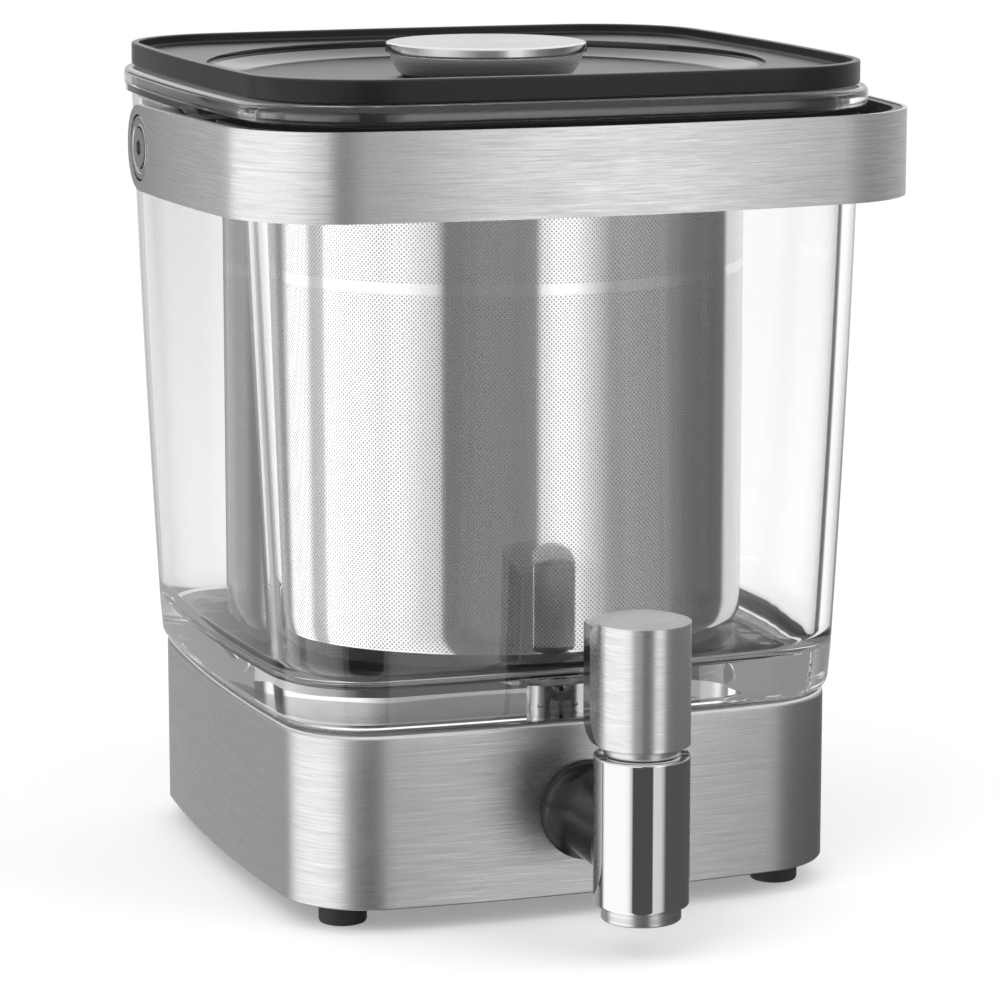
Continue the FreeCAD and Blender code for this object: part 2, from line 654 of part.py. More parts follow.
def make_glass_jar():
    """Tapered square jar of thick glass with a heavy floor, a drain hole and a flange on top."""
    body = new_body("glass_jar")
    foot = [
        (family("jar_foot", "jar_foot_rounding * 0.6"), "skirt_top"),
        (family("jar_foot"), "skirt_top + jar_foot_rounding"),
    ]
    loft(body, foot, "foot")
    outer = [
        (family("jar_foot"), "skirt_top + jar_foot_rounding"),
        (family("jar_middle"), "jar_middle"),
        (family("jar_neck"), "flange_bottom"),
    ]
    loft(body, outer, "outside")
    flange_outline = family("jar_neck", "-flange_reach")
    flange = pad_square(body, flange_outline, "flange_bottom", "flange_top - flange_bottom", "flange")
    rims = outline_edges(body, flange_outline, "flange_top")
    rims += outline_edges(body, flange_outline, "flange_bottom")
    fillet(body, flange, rims, "flange_rounding", "flange_rims")
    inner = [
        (family("jar_foot", "jar_wall"), "jar_floor"),
        (family("jar_middle", "jar_wall"), "jar_middle"),
        (family("jar_neck", "jar_wall"), "flange_top"),
    ]
    loft(body, inner, "inside", cut=True)
    well_radius = "drain_head_radius + drain_well_clearance"
    pocket_round(body, well_radius, "well_floor", "drain_well_depth + 0.5", "drain_well", y="-drain_back")
    hole_radius = "drain_stem_radius + hole_clearance"
    pocket_round(body, hole_radius, "skirt_top", "well_floor - skirt_top", "drain_hole", y="-drain_back")
    return body


# ---------------------------------------------------------------- drain and shank

def make_drain_fitting():
    """Flanged stem through the jar's floor, pad and deck."""
    head_bottom = "well_floor + seal_thickness"
    head_top = "jar_floor - base_gap"
    body = new_body("drain_fitting", y="jar_y - drain_back")
    profile = [
        ("drain_bore_radius", "drain_stem_bottom"),
        ("drain_stem_radius", "drain_stem_bottom"),
        ("drain_stem_radius", head_bottom),
        ("drain_head_radius", head_bottom),
        ("drain_head_radius", head_top),
        ("drain_bore_radius", head_top),
    ]
    turned(body, profile, "fitting")
    return body


def make_drain_seals():
    """One silicone washer under the head and one under the deck."""
    bore = "drain_stem_radius + thread_clearance"
    upper = tube("drain_seal_upper", "drain_head_radius", bore, "seal_thickness", z="well_floor")
    lower = tube("drain_seal_lower", "drain_head_radius", bore, "seal_thickness", z="drain_nut_top")
    for seal in (upper, lower):
        place(seal, y="jar_y - drain_back")
    return [upper, lower]


def make_drain_nut():
    blank = hexagon("drain_nut_blank", "drain_nut_flats", "drain_nut_height", z="drain_nut_bottom")
    bore = "drain_stem_radius + thread_clearance"
    thread = cylinder("drain_nut_thread", bore, "drain_nut_height", z="drain_nut_bottom")
    return place(cut("drain_nut", blank, [thread]), y="jar_y - drain_back")


def make_drain_elbow():
    """Elbow that takes the drain's stem from above and the tap's shank from the front."""
    upright_radius = "drain_stem_radius + thread_clearance + elbow_wall"
    level_radius = "shank_radius + thread_clearance + elbow_wall"
    foot = "tap_neck_height - (%s) - elbow_foot" % level_radius
    top = "drain_nut_bottom - base_gap"
    mouth = "shank_back + elbow_socket - drain_back"
    upright = cylinder("elbow_upright", upright_radius, "%s - (%s)" % (top, foot), z=foot)
    level = cylinder("elbow_level", level_radius, mouth, z="tap_neck_height", axis="forward")
    stem_bore = "drain_stem_radius + thread_clearance"
    stem_socket = cylinder("elbow_stem_socket", stem_bore, "elbow_socket", z="drain_stem_bottom")
    shank_bore = "shank_radius + thread_clearance"
    shank_y = "-(shank_back - drain_back)"
    shank_socket = cylinder("elbow_shank_socket", shank_bore, "elbow_socket", y=shank_y,
                            z="tap_neck_height", axis="forward")
    drop = "drain_stem_bottom - tap_neck_height"
    upright_way = cylinder("elbow_upright_way", "drain_bore_radius", drop, z="tap_neck_height")
    level_way = cylinder("elbow_level_way", "drain_bore_radius", mouth, z="tap_neck_height", axis="forward")
    outside = fuse("elbow_outside", [upright, level])
    elbow = cut("drain_elbow", outside, [stem_socket, shank_socket, upright_way, level_way])
    return place(elbow, y="jar_y - drain_back")


def make_shank_parts():
    """Threaded shank through the front of the base, with its gasket, washer and nut."""
    length = "skirt_half + shank_gasket + shank_socket - shank_back"
    shank = tube("tap_shank", "shank_radius", "drain_bore_radius", length, y="-shank_back",
                 z="tap_neck_height", axis="forward")
    bore = "shank_radius + thread_clearance"
    gasket = tube("tap_gasket", "tap_neck_foot_radius - shank_gasket_inset", bore, "shank_gasket",
                  y="-skirt_half", z="tap_neck_height", axis="forward")
    washer = tube("tap_washer", "shank_washer_radius", bore, "shank_washer",
                  y="-(washer_front - shank_washer)", z="tap_neck_height", axis="forward")
    blank = hexagon("tap_nut_blank", "shank_nut_flats", "shank_nut_height", y="-nut_back",
                    z="tap_neck_height", axis="forward")
    thread = cylinder("tap_nut_thread", bore, "shank_nut_height", y="-nut_back",
                      z="tap_neck_height", axis="forward")
    nut = cut("tap_nut", blank, [thread])
    return [place(item, y="jar_y") for item in (shank, gasket, washer, nut)]


# ---------------------------------------------------------------- tap

def make_tap_body():
    """Chrome barrel with a valve chamber, and a neck that reaches back to the base."""
    barrel = cylinder("barrel", "tap_radius", "tap_top - tap_bottom", z="tap_bottom")
    edges = doc.addObject("Part::Fillet", "barrel_edges")
    edges.Base = barrel
    doc.recompute()
    rounding = value("tap_edge")
    rims = [i for i, edge in enumerate(barrel.Shape.Edges, start=1) if len(edge.Vertexes) == 1]
    edges.Edges = [(i, rounding, rounding) for i in rims]
    foot_y = "(tap_reach - shank_gasket)"
    foot = cylinder("neck_foot", "tap_neck_foot_radius", "tap_neck_flange", y=foot_y, z="tap_neck_height",
                    axis="forward")
    taper = cone("neck_taper", "tap_neck_foot_radius", "tap_neck_radius",
                 "tap_reach - tap_radius - tap_neck_taper_gap", y="%s - tap_neck_flange" % foot_y,
                 z="tap_neck_height", axis="forward")
    neck = cylinder("neck", "tap_neck_radius", foot_y, y=foot_y, z="tap_neck_height", axis="forward")
    chamber = cylinder("chamber", "chamber_radius", "tap_top - seat_height", z="seat_height")
    outlet = cylinder("outlet", "seat_radius", "seat_height - tap_bottom", z="tap_bottom")
    spigot_hole = cylinder("spigot_hole", "spigot_radius", "nozzle_spigot", z="tap_bottom")
    shank_hole = cylinder("shank_hole", "shank_radius + thread_clearance", "shank_socket", y=foot_y,
                          z="tap_neck_height", axis="forward")
    way = cylinder("way", "drain_bore_radius", foot_y, y=foot_y, z="tap_neck_height", axis="forward")
    outside = fuse("tap_outside", [edges, foot, taper, neck])
    body = cut("tap_body", outside, [chamber, outlet, spigot_hole, shank_hole, way])
    return place(body, y="tap_row_y")


def make_tap_nozzle():
    """Ring round the outlet with a spigot pushed up into the barrel."""
    body = new_body("tap_nozzle", y="tap_row_y")
    spigot = "spigot_radius - thread_clearance"
    profile = [
        ("nozzle_bore_radius", "nozzle_bottom"),
        ("nozzle_radius - tap_edge", "nozzle_bottom"),
        ("nozzle_radius", "nozzle_bottom + tap_edge"),
        ("nozzle_radius", "tap_bottom"),
        (spigot, "tap_bottom"),
        (spigot, "tap_bottom + nozzle_spigot"),
        ("nozzle_bore_radius", "tap_bottom + nozzle_spigot"),
    ]
    turned(body, profile, "nozzle")
    return body


def make_tap_collar():
    """Collar screwed into the top of the barrel; it guides the stem and carries the lever."""
    body = new_body("tap_collar", y="tap_row_y")
    bore = "stem_radius + running_clearance"
    plug = "chamber_radius - thread_clearance"
    profile = [
        (bore, "tap_top - collar_plug"),
        (plug, "tap_top - collar_plug"),
        (plug, "tap_top"),
        ("collar_radius", "tap_top"),
        ("collar_radius", "collar_top"),
        (bore, "collar_top"),
    ]
    turned(body, profile, "collar")
    return body


def make_valve_stem():
    """Stem from the lever's pin down to the seat cup, with a cross hole for the pin."""
    rod_bottom = "seat_height + cup_height * 0.5"
    rod_length = "lever_pin_height + stem_over_pin - (%s)" % rod_bottom
    rod = cylinder("stem_rod", "stem_radius", rod_length, z=rod_bottom)
    hole = cylinder("stem_cross_hole", "lever_pin_radius + running_clearance", "4 * stem_radius",
                    x="-2 * stem_radius", z="lever_pin_height", axis="right")
    return place(cut("valve_stem", rod, [hole]), y="tap_row_y")


def make_seat_cup():
    """Silicone cup on the stem's foot that closes the seat."""
    body = new_body("seat_cup", y="tap_row_y")
    socket_floor = "seat_height + cup_height * 0.5"
    profile = [
        ("0", "seat_height"),
        ("cup_radius * 0.8", "seat_height"),
        ("cup_radius", "seat_height + cup_height * 0.25"),
        ("cup_radius", "seat_height + cup_height * 0.6"),
        ("stem_radius + cup_neck", "seat_height + cup_height"),
        ("stem_radius", "seat_height + cup_height"),
        ("stem_radius", socket_floor),
        ("0", socket_floor),
    ]
    turned(body, profile, "cup")
    return body


def add_lever_plan(sketch, radius, back):
    """Plan of the lever: a half round towards the front and straight sides to its back."""
    up = FreeCAD.Vector(0, 0, 1)
    r = value(radius)
    b = value(back)
    sketch.addGeometry(Part.ArcOfCircle(Part.Circle(FreeCAD.Vector(), up, r), math.pi, 2 * math.pi), False)
    sketch.addGeometry(Part.LineSegment(FreeCAD.Vector(r, 0, 0), FreeCAD.Vector(r, b, 0)), False)
    sketch.addGeometry(Part.LineSegment(FreeCAD.Vector(r, b, 0), FreeCAD.Vector(-r, b, 0)), False)
    sketch.addGeometry(Part.LineSegment(FreeCAD.Vector(-r, b, 0), FreeCAD.Vector(-r, 0, 0)), False)
    sketch.addConstraint(Sketcher.Constraint("Tangent", 0, 2, 1, 1))
    sketch.addConstraint(Sketcher.Constraint("Coincident", 1, 2, 2, 1))
    sketch.addConstraint(Sketcher.Constraint("Coincident", 2, 2, 3, 1))
    sketch.addConstraint(Sketcher.Constraint("Tangent", 3, 2, 0, 1))
    sketch.addConstraint(Sketcher.Constraint("Coincident", 0, 3, -1, 1))
    sketch.addConstraint(Sketcher.Constraint("Vertical", 1))
    sketch.addConstraint(Sketcher.Constraint("Vertical", 3))
    sketch.addConstraint(Sketcher.Constraint("Horizontal", 2))
    add_dimension(sketch, radius, "Radius", 0)
    add_dimension(sketch, back, "DistanceY", -1, 1, 1, 2)


def straight_edge(shape, y, z):
    """Name of the straight edge that runs from side to side at one place in side view."""
    for i, edge in enumerate(shape.Edges, start=1):
        ends = edge.Vertexes
        if all(abs(end.Y - y) < 0.01 and abs(end.Z - z) < 0.01 for end in ends) and len(ends) == 2:
            return "Edge%d" % i
    raise RuntimeError("no edge at y %.2f z %.2f" % (y, z))


def make_lever_block(body, radius, back, top):
    """Solid of the lever's plan with its two rear corners rounded in side view."""
    plan = new_sketch(body, "plan", offset="lever_bottom")
    add_lever_plan(plan, radius, back)
    block = pad(body, plan, "%s - lever_bottom" % top, "block")
    heel = straight_edge(body.Tip.Shape, value(back), value("lever_bottom"))
    fillet_heel = fillet(body, block, [heel], "lever_heel_rounding", "heel")
    head = straight_edge(body.Tip.Shape, value(back), value(top))
    return fillet(body, fillet_heel, [head], "lever_head_rounding", "head")


def make_lever_shell():
    """Brushed steel front of the lever, domed on top and open behind and below."""
    body = new_body("lever_shell", y="tap_row_y")
    make_lever_block(body, "tap_radius", "lever_shell_back", "lever_top")
    cap = new_sketch(body, "dome_profile", "XZ_Plane")
    add_dome_waste(cap)
    dome = body.newObject("PartDesign::Groove", "dome")
    dome.Profile = cap
    dome.ReferenceAxis = (cap, ["V_Axis"])
    dome.Angle = 360
    doc.recompute()
    inside = new_sketch(body, "inside_plan", offset="lever_bottom")
    add_lever_plan(inside, "tap_radius - lever_sheet", "lever_core_back")
    pocket(body, inside, "lever_shoulder - lever_sheet - lever_bottom", "inside", reverse=True)
    return body


def add_dome_waste(sketch):
    """Section of what is turned away above the domed top."""
    up = FreeCAD.Vector(0, 0, 1)
    r = value("dome_radius")
    crown = value("lever_top")
    reach = value("tap_radius * 1.3")
    angle = math.acos(reach / r)
    centre = FreeCAD.Vector(0, crown - r, 0)
    edge = centre + FreeCAD.Vector(r * math.cos(angle), r * math.sin(angle), 0)
    top = FreeCAD.Vector(0, crown, 0)
    over = FreeCAD.Vector(0, crown + 3, 0)
    out = FreeCAD.Vector(reach, crown + 3, 0)
    sketch.addGeometry(Part.ArcOfCircle(Part.Circle(centre, up, r), angle, math.pi / 2), False)
    sketch.addGeometry(Part.LineSegment(top, over), False)
    sketch.addGeometry(Part.LineSegment(over, out), False)
    sketch.addGeometry(Part.LineSegment(out, edge), False)
    sketch.addConstraint(Sketcher.Constraint("Coincident", 0, 2, 1, 1))
    sketch.addConstraint(Sketcher.Constraint("Coincident", 1, 2, 2, 1))
    sketch.addConstraint(Sketcher.Constraint("Coincident", 2, 2, 3, 1))
    sketch.addConstraint(Sketcher.Constraint("Coincident", 3, 2, 0, 1))
    sketch.addConstraint(Sketcher.Constraint("PointOnObject", 0, 3, -2))
    sketch.addConstraint(Sketcher.Constraint("PointOnObject", 0, 2, -2))
    sketch.addConstraint(Sketcher.Constraint("PointOnObject", 1, 2, -2))
    sketch.addConstraint(Sketcher.Constraint("Horizontal", 2))
    sketch.addConstraint(Sketcher.Constraint("Vertical", 3))
    add_dimension(sketch, "dome_radius", "Radius", 0)
    add_dimension(sketch, "lever_top", "DistanceY", -1, 1, 0, 2)
    add_dimension(sketch, "lever_top + 3", "DistanceY", -1, 1, 1, 2)
    add_dimension(sketch, "tap_radius * 1.3", "DistanceX", -1, 1, 2, 2)


def make_lever_core():
    """Black core that fills the shell, forms the lever's back and holds the pin."""
    body = new_body("lever_core", y="tap_row_y")
    fit = "tap_radius - lever_sheet - thread_clearance"
    top = "(lever_shoulder - lever_sheet - thread_clearance)"
    make_lever_block(body, fit, "lever_core_back", top)
    slot = new_sketch(body, "slot_plan", offset="lever_bottom")
    half = "stem_radius + slot_side"
    corners = [
        ("-(%s)" % half, "-slot_front"),
        (half, "-slot_front"),
        (half, "slot_back"),
        ("-(%s)" % half, "slot_back"),
    ]
    add_polygon(slot, corners)
    pocket(body, slot, "lever_pin_height + slot_top - lever_bottom", "slot", reverse=True)
    pin_hole = new_sketch(body, "pin_circle", "YZ_Plane")
    add_circle(pin_hole, "lever_pin_radius", "0", "lever_pin_height")
    pocket(body, pin_hole, "4 * tap_radius", "pin_hole", midplane=True)
    return body


def make_lever_pin():
    """Pin across the core that carries the valve stem."""
    half = "(tap_radius - lever_sheet - lever_pin_inset)"
    pin = cylinder("lever_pin", "lever_pin_radius", "2 * %s" % half, x="-%s" % half,
                   y="tap_row_y", z="lever_pin_height", axis="right")
    return pin


# ---------------------------------------------------------------- neck ring and pivots

def make_neck_ring():
    """Slim steel ring round the jar's neck, between the flange and the handle's brackets."""
    body = new_body("neck_ring")
    outside = family("jar_neck", "-(neck_ring_gap + neck_ring_wall)")
    pad_square(body, outside, "ring_bottom", "neck_ring_height", "ring")
    pocket_square(body, family("jar_neck", "-neck_ring_gap"), "ring_bottom", "neck_ring_height", "inside")
    return body


def make_pivot_bracket(name, side):
    """Moulded bracket on the side of the neck: a round head for the pivot screw and an arm forward."""
    depth = "bracket_face - bracket_back"
    start = "bracket_back" if side > 0 else "-bracket_face"
    head_radius = "(ring_bottom - pivot_height)"
    head = cylinder("bracket_head_" + name, head_radius, depth, x=start, z="pivot_height", axis="right")
    reach = "rest_block_front - rest_block_length"
    arm_start = start if side > 0 else "%s + rest_block_inset" % start
    arm = box("bracket_arm_" + name, "%s - rest_block_inset" % depth, reach,
              "bracket_arm_drop + bracket_arm_rise", x=arm_start, y="-(%s)" % reach,
              z="pivot_height - bracket_arm_drop")
    hole = cylinder("bracket_hole_" + name, "pivot_shank_radius", depth, x=start, z="pivot_height",
                    axis="right")
    bracket = cut("pivot_bracket_" + name, fuse("bracket_blank_" + name, [head, arm]), [hole])
    return place(bracket, y="jar_y")


def make_pivot_screw(name, side):
    """Shoulder screw on which the handle turns, with a hexagon socket."""
    head_inside = "(band_half - pivot_head)"
    shank_length = "%s - bracket_back" % head_inside
    shank_x = "bracket_back" if side > 0 else "-%s" % head_inside
    head_x = head_inside if side > 0 else "-band_half"
    shank = cylinder("pivot_shank_" + name, "pivot_shank_radius", shank_length, x=shank_x, z="pivot_height",
                     axis="right")
    head = cylinder("pivot_head_" + name, "pivot_head_radius", "pivot_head", x=head_x, z="pivot_height",
                    axis="right")
    socket_depth = "(pivot_head * 0.8)"
    socket_x = "band_half - %s" % socket_depth if side > 0 else "-band_half"
    socket = hexagon("pivot_socket_" + name, "pivot_hex_flats", socket_depth, x=socket_x, z="pivot_height",
                     axis="right")
    screw = cut("pivot_screw_" + name, fuse("pivot_blank_" + name, [shank, head]), [socket])
    return place(screw, y="jar_y")


def make_pivot_bush(name, side):
    """Disc pressed into the handle's arm; it turns on the screw."""
    depth = "band_half - bush_inside"
    start = "bush_inside" if side > 0 else "-band_half"
    disc = cylinder("bush_disc_" + name, "pivot_bush_radius", depth, x=start, z="pivot_height", axis="right")
    shank_hole = cylinder("bush_hole_" + name, "pivot_shank_radius + running_clearance", depth, x=start,
                          z="pivot_height", axis="right")
    room = "(pivot_head + running_clearance)"
    room_x = "band_half - %s" % room if side > 0 else "-band_half"
    head_room = cylinder("bush_head_room_" + name, "pivot_head_radius + running_clearance", room, x=room_x,
                         z="pivot_height", axis="right")
    return place(cut("pivot_bush_" + name, disc, [shank_hole, head_room]), y="jar_y")


def make_stop_pin(name, side):
    """Steel pin that lies on the bracket's arm in front of its head."""
    face = "(bracket_face - stop_pin_inset)"
    start = "bracket_back" if side > 0 else "-%s" % face
    height = "pivot_height + bracket_arm_rise + stop_pin_radius"
    return cylinder("stop_pin_" + name, "stop_pin_radius", "%s - bracket_back" % face, x=start,
                    y="jar_y - stop_pin_forward", z=height, axis="right")


def make_rest_block(name, side):
    """Rubber rest at the end of the bracket's arm that keeps the handle clear of the jar."""
    face = "(bracket_face - rest_block_inset)"
    start = "bracket_back" if side > 0 else "-%s" % face
    return box("rest_block_" + name, "%s - bracket_back" % face, "rest_block_length", "rest_block_height",
               x=start, y="jar_y - rest_block_front", z="ring_bottom - rest_block_height")


# ---------------------------------------------------------------- carry handle

def add_band_path(sketch, inset):
    """The handle's plan on one side of its wall: arm, corner, front, corner, arm."""
    side_radius = "(band_side_radius - (%s))" % inset
    front_radius = "(band_front_radius - (%s))" % inset
    corner_radius = "(band_corner_radius - (%s))" % inset
    side_reach = "(band_side_radius - band_half)"
    front_reach = "(band_front_radius - band_front)"
    big_side = value(side_radius) - value(corner_radius)
    big_front = value(front_radius) - value(corner_radius)
    corner_y = value("band_front") / 2
    for repeat in range(60):
        corner_x = math.sqrt(big_side ** 2 - corner_y ** 2) - value(side_reach)
        corner_y = math.sqrt(big_front ** 2 - corner_x ** 2) - value(front_reach)
    side_turn = math.atan2(corner_y, corner_x + value(side_reach))
    front_turn = math.atan2(corner_x, corner_y + value(front_reach))
    end_turn = math.asin(value("arm_end") / value(side_radius))
    down = -math.pi / 2
    arcs = [
        (value(side_reach), 0, side_radius, math.pi - end_turn, math.pi + side_turn),
        (-corner_x, -corner_y, corner_radius, math.pi + side_turn, 2 * math.pi + down - front_turn),
        (0, value(front_reach), front_radius, down - front_turn, down + front_turn),
        (corner_x, -corner_y, corner_radius, down + front_turn, -side_turn),
        (-value(side_reach), 0, side_radius, -side_turn, end_turn),
    ]
    first = sketch.GeometryCount
    for x, y, radius, start, finish in arcs:
        circle = Part.Circle(FreeCAD.Vector(x, y, 0), FreeCAD.Vector(0, 0, 1), value(radius))
        sketch.addGeometry(Part.ArcOfCircle(circle, start, finish), False)
    for i in range(4):
        sketch.addConstraint(Sketcher.Constraint("Tangent", first + i, 2, first + i + 1, 1))
    for i, arc in enumerate(arcs):
        add_dimension(sketch, arc[2], "Radius", first + i)
    sketch.addConstraint(Sketcher.Constraint("PointOnObject", first, 3, -1))
    sketch.addConstraint(Sketcher.Constraint("PointOnObject", first + 4, 3, -1))
    sketch.addConstraint(Sketcher.Constraint("PointOnObject", first + 2, 3, -2))
    add_dimension(sketch, side_reach, "DistanceX", -1, 1, first, 3)
    add_dimension(sketch, "-" + side_reach, "DistanceX", -1, 1, first + 4, 3)
    add_dimension(sketch, front_reach, "DistanceY", -1, 1, first + 2, 3)
    add_dimension(sketch, "arm_end", "DistanceY", -1, 1, first, 1)
    add_dimension(sketch, "arm_end", "DistanceY", -1, 1, first + 4, 2)
    return first


def join_ends(sketch, outer, outer_end, inner, inner_end):
    """A straight line across the end of an arm."""
    start = sketch.getPoint(outer, outer_end)
    finish = sketch.getPoint(inner, inner_end)
    line = sketch.addGeometry(Part.LineSegment(start, finish), False)
    sketch.addConstraint(Sketcher.Constraint("Coincident", line, 1, outer, outer_end))
    sketch.addConstraint(Sketcher.Constraint("Coincident", line, 2, inner, inner_end))


def make_band(label, outer_inset, inner_inset, edge_inset):
    """One layer of the handle: a bowed U with rounded arm ends and a hole at each pivot."""
    body = new_body(label)
    plan = new_sketch(body, "plan", offset="band_bottom + %s" % edge_inset)
    outer = add_band_path(plan, outer_inset)
    inner = add_band_path(plan, inner_inset)
    join_ends(plan, outer, 1, inner, 1)
    join_ends(plan, outer + 4, 2, inner + 4, 2)
    height = "band_height - 2 * %s" % edge_inset
    block = pad(body, plan, height, "block")
    end_y = value("arm_end")
    shape = body.Tip.Shape
    edges = []
    for i, edge in enumerate(shape.Edges, start=1):
        ends = edge.Vertexes
        level = abs(ends[0].Z - ends[-1].Z) < 0.01
        if level and all(abs(end.Y - end_y) < 0.01 for end in ends):
            edges.append("Edge%d" % i)
    fillet(body, block, edges, "band_height / 2 - arm_end_straight - %s" % edge_inset, "arm_ends")
    holes = new_sketch(body, "pivot_circle", "YZ_Plane")
    add_circle(holes, "pivot_bush_radius + thread_clearance", "0", "pivot_height")
    pocket(body, holes, "4 * band_half", "pivot_holes", midplane=True)
    return body


# ---------------------------------------------------------------- lid

def make_lid_cover():
    """Moulded lid: an upstanding rim, a round dish for the fingers, and a plug into the jar."""
    body = new_body("lid_cover")
    plug = family("jar_neck", "jar_wall + lid_plug_gap")
    plug_inside = family("jar_neck", "jar_wall + lid_plug_gap + lid_sheet")
    pad_square(body, family("lid"), "flange_top", "lid_height", "rim")
    pad_square(body, plug, "plug_bottom", "lid_plug_depth", "plug")
    plug_height = "lid_deck - lid_sheet - plug_bottom"
    pocket_square(body, plug_inside, "plug_bottom", plug_height, "plug_inside")
    pocket_square(body, family("lid", "lid_rim_wall"), "lid_deck", "lid_rim_depth", "top_recess")
    pocket_round(body, "dish_radius", "lid_deck - lid_sheet", "lid_sheet", "dish_opening")
    profile = [
        ("0", "dish_floor"),
        ("dish_floor_radius", "dish_floor"),
        ("dish_radius - dish_step", "lid_deck - dish_step - 0.6"),
        ("dish_radius", "lid_deck - dish_step"),
        ("dish_radius", "lid_deck"),
        ("dish_radius + lid_sheet / 2", "lid_deck"),
        ("dish_radius + lid_sheet / 2", "lid_deck - dish_step - lid_sheet"),
        ("dish_floor_radius + lid_sheet / 2", "dish_underside"),
        ("0", "dish_underside"),
    ]
    turned(body, profile, "dish")
    hole = "knob_screw_radius + thread_clearance"
    pocket_round(body, hole, "dish_underside", "lid_sheet", "screw_hole")
    return body


def make_lid_gasket():
    """Silicone ring round the lid's plug."""
    body = new_body("lid_gasket")
    bottom = "plug_bottom + lid_gasket_rise"
    pad_square(body, family("jar_neck", "jar_wall + soft_gap"), bottom, "lid_gasket_height", "ring")
    pocket_square(body, family("jar_neck", "jar_wall + lid_plug_gap"), bottom, "lid_gasket_height", "inside")
    return body


def make_knob_base():
    """Bowl under the knob's disc that stands on the floor of the dish."""
    body = new_body("knob_base")
    screw_top = "dish_floor + knob_screw_length - lid_sheet"
    bore = "knob_screw_radius + thread_clearance"
    profile = [
        (bore, "dish_floor"),
        ("knob_foot_radius", "dish_floor"),
        ("(knob_foot_radius + knob_waist_radius) / 2 + knob_bulge", "(dish_floor + knob_waist) / 2"),
        ("knob_waist_radius", "knob_waist"),
        ("(knob_waist_radius + knob_bowl_radius) / 2 + knob_bulge", "(knob_waist + knob_disc_bottom) / 2"),
        ("knob_bowl_radius", "knob_disc_bottom - knob_waist_drop * 0.12"),
        ("knob_bowl_radius", "knob_disc_bottom"),
        ("0", "knob_disc_bottom"),
        ("0", screw_top),
        (bore, screw_top),
    ]
    turned(body, profile, "bowl")
    return body


def make_knob_cap():
    """Steel disc on the knob with a small edge break."""
    body = new_body("knob_cap")
    profile = [
        ("0", "knob_disc_bottom"),
        ("knob_radius - knob_edge", "knob_disc_bottom"),
        ("knob_radius", "knob_disc_bottom + knob_edge"),
        ("knob_radius", "knob_top - knob_edge"),
        ("knob_radius - knob_edge", "knob_top"),
        ("0", "knob_top"),
    ]
    turned(body, profile, "disc")
    return body


def make_knob_screw():
    """Screw from under the lid into the knob."""
    head_bottom = "dish_underside - knob_screw_head"
    head = cylinder("knob_screw_head_blank", "knob_screw_head_radius", "knob_screw_head", z=head_bottom)
    shank = cylinder("knob_screw_shank", "knob_screw_radius", "knob_screw_length", z="dish_underside")
    return place(fuse("knob_screw", [head, shank]), y="jar_y")


# ---------------------------------------------------------------- steeper

def make_steeper():
    """Perforated sleeve, pressed floor and rolled rim of the steeper."""
    sleeve = tube("steeper_sleeve", "steeper_radius", "steeper_radius - steeper_sheet",
                  "steeper_rim_bottom - steeper_seam", z="steeper_seam")
    place(sleeve, y="jar_y")
    floor = new_body("steeper_floor")
    heel = "steeper_heel * 0.3"
    pan = [
        ("0", "jar_floor"),
        ("steeper_radius - steeper_heel", "jar_floor"),
        ("steeper_radius - %s" % heel, "jar_floor + %s" % heel),
        ("steeper_radius", "steeper_seam"),
        ("steeper_radius - steeper_sheet", "steeper_seam"),
        ("steeper_radius - steeper_sheet - %s" % heel, "jar_floor + %s + steeper_sheet / 2" % heel),
        ("steeper_radius - steeper_heel", "jar_floor + steeper_sheet"),
        ("0", "jar_floor + steeper_sheet"),
    ]
    turned(floor, pan, "pan")
    rim = new_body("steeper_rim")
    rim_radius = "steeper_radius + steeper_rim_reach"
    ring = [
        ("steeper_radius - steeper_sheet", "steeper_rim_bottom"),
        ("steeper_radius", "steeper_rim_bottom"),
        (rim_radius, "steeper_rim_bottom + steeper_rim_height * 0.4"),
        (rim_radius, "steeper_top - steeper_rim_edge"),
        ("%s - steeper_rim_edge" % rim_radius, "steeper_top"),
        ("steeper_radius - steeper_sheet", "steeper_top"),
    ]
    turned(rim, ring, "ring")
    return [sleeve, floor, rim]


# ---------------------------------------------------------------- build, check and write

subparts = [make_base_skirt(), make_base_tray(), make_base_cover(), make_base_screws(), make_jar_pad()]
for corner_name, corner_x_side, corner_y_side in CORNERS:
    subparts.append(make_foot(corner_name, corner_x_side, corner_y_side))
subparts += [make_glass_jar(), make_drain_fitting(), make_drain_nut(), make_drain_elbow()]
subparts += make_drain_seals()
subparts += make_shank_parts()
subparts += [make_tap_body(), make_tap_nozzle(), make_tap_collar(), make_valve_stem(), make_seat_cup()]
subparts += [make_lever_shell(), make_lever_core(), make_lever_pin(), make_neck_ring()]
for side_name, side_sign in SIDES:
    subparts.append(make_pivot_bracket(side_name, side_sign))
    subparts.append(make_pivot_screw(side_name, side_sign))
    subparts.append(make_pivot_bush(side_name, side_sign))
    subparts.append(make_stop_pin(side_name, side_sign))
    subparts.append(make_rest_block(side_name, side_sign))
subparts.append(make_band("handle_band", "0", "band_sheet", "0"))
subparts.append(make_band("handle_liner", "band_sheet", "band_sheet + liner_wall", "liner_inset"))
subparts += [make_lid_cover(), make_lid_gasket(), make_knob_base(), make_knob_cap(), make_knob_screw()]
subparts += make_steeper()

doc.recompute()

for item in doc.Objects:
    if "Invalid" in item.State or "Error" in item.State:
        raise RuntimeError("%s did not build: %s" % (item.Name, item.State))
for subpart in subparts:
    if subpart.Shape.isNull() or not subpart.Shape.isValid() or not subpart.Shape.Solids:
        raise RuntimeError("%s has no valid solid" % subpart.Label)

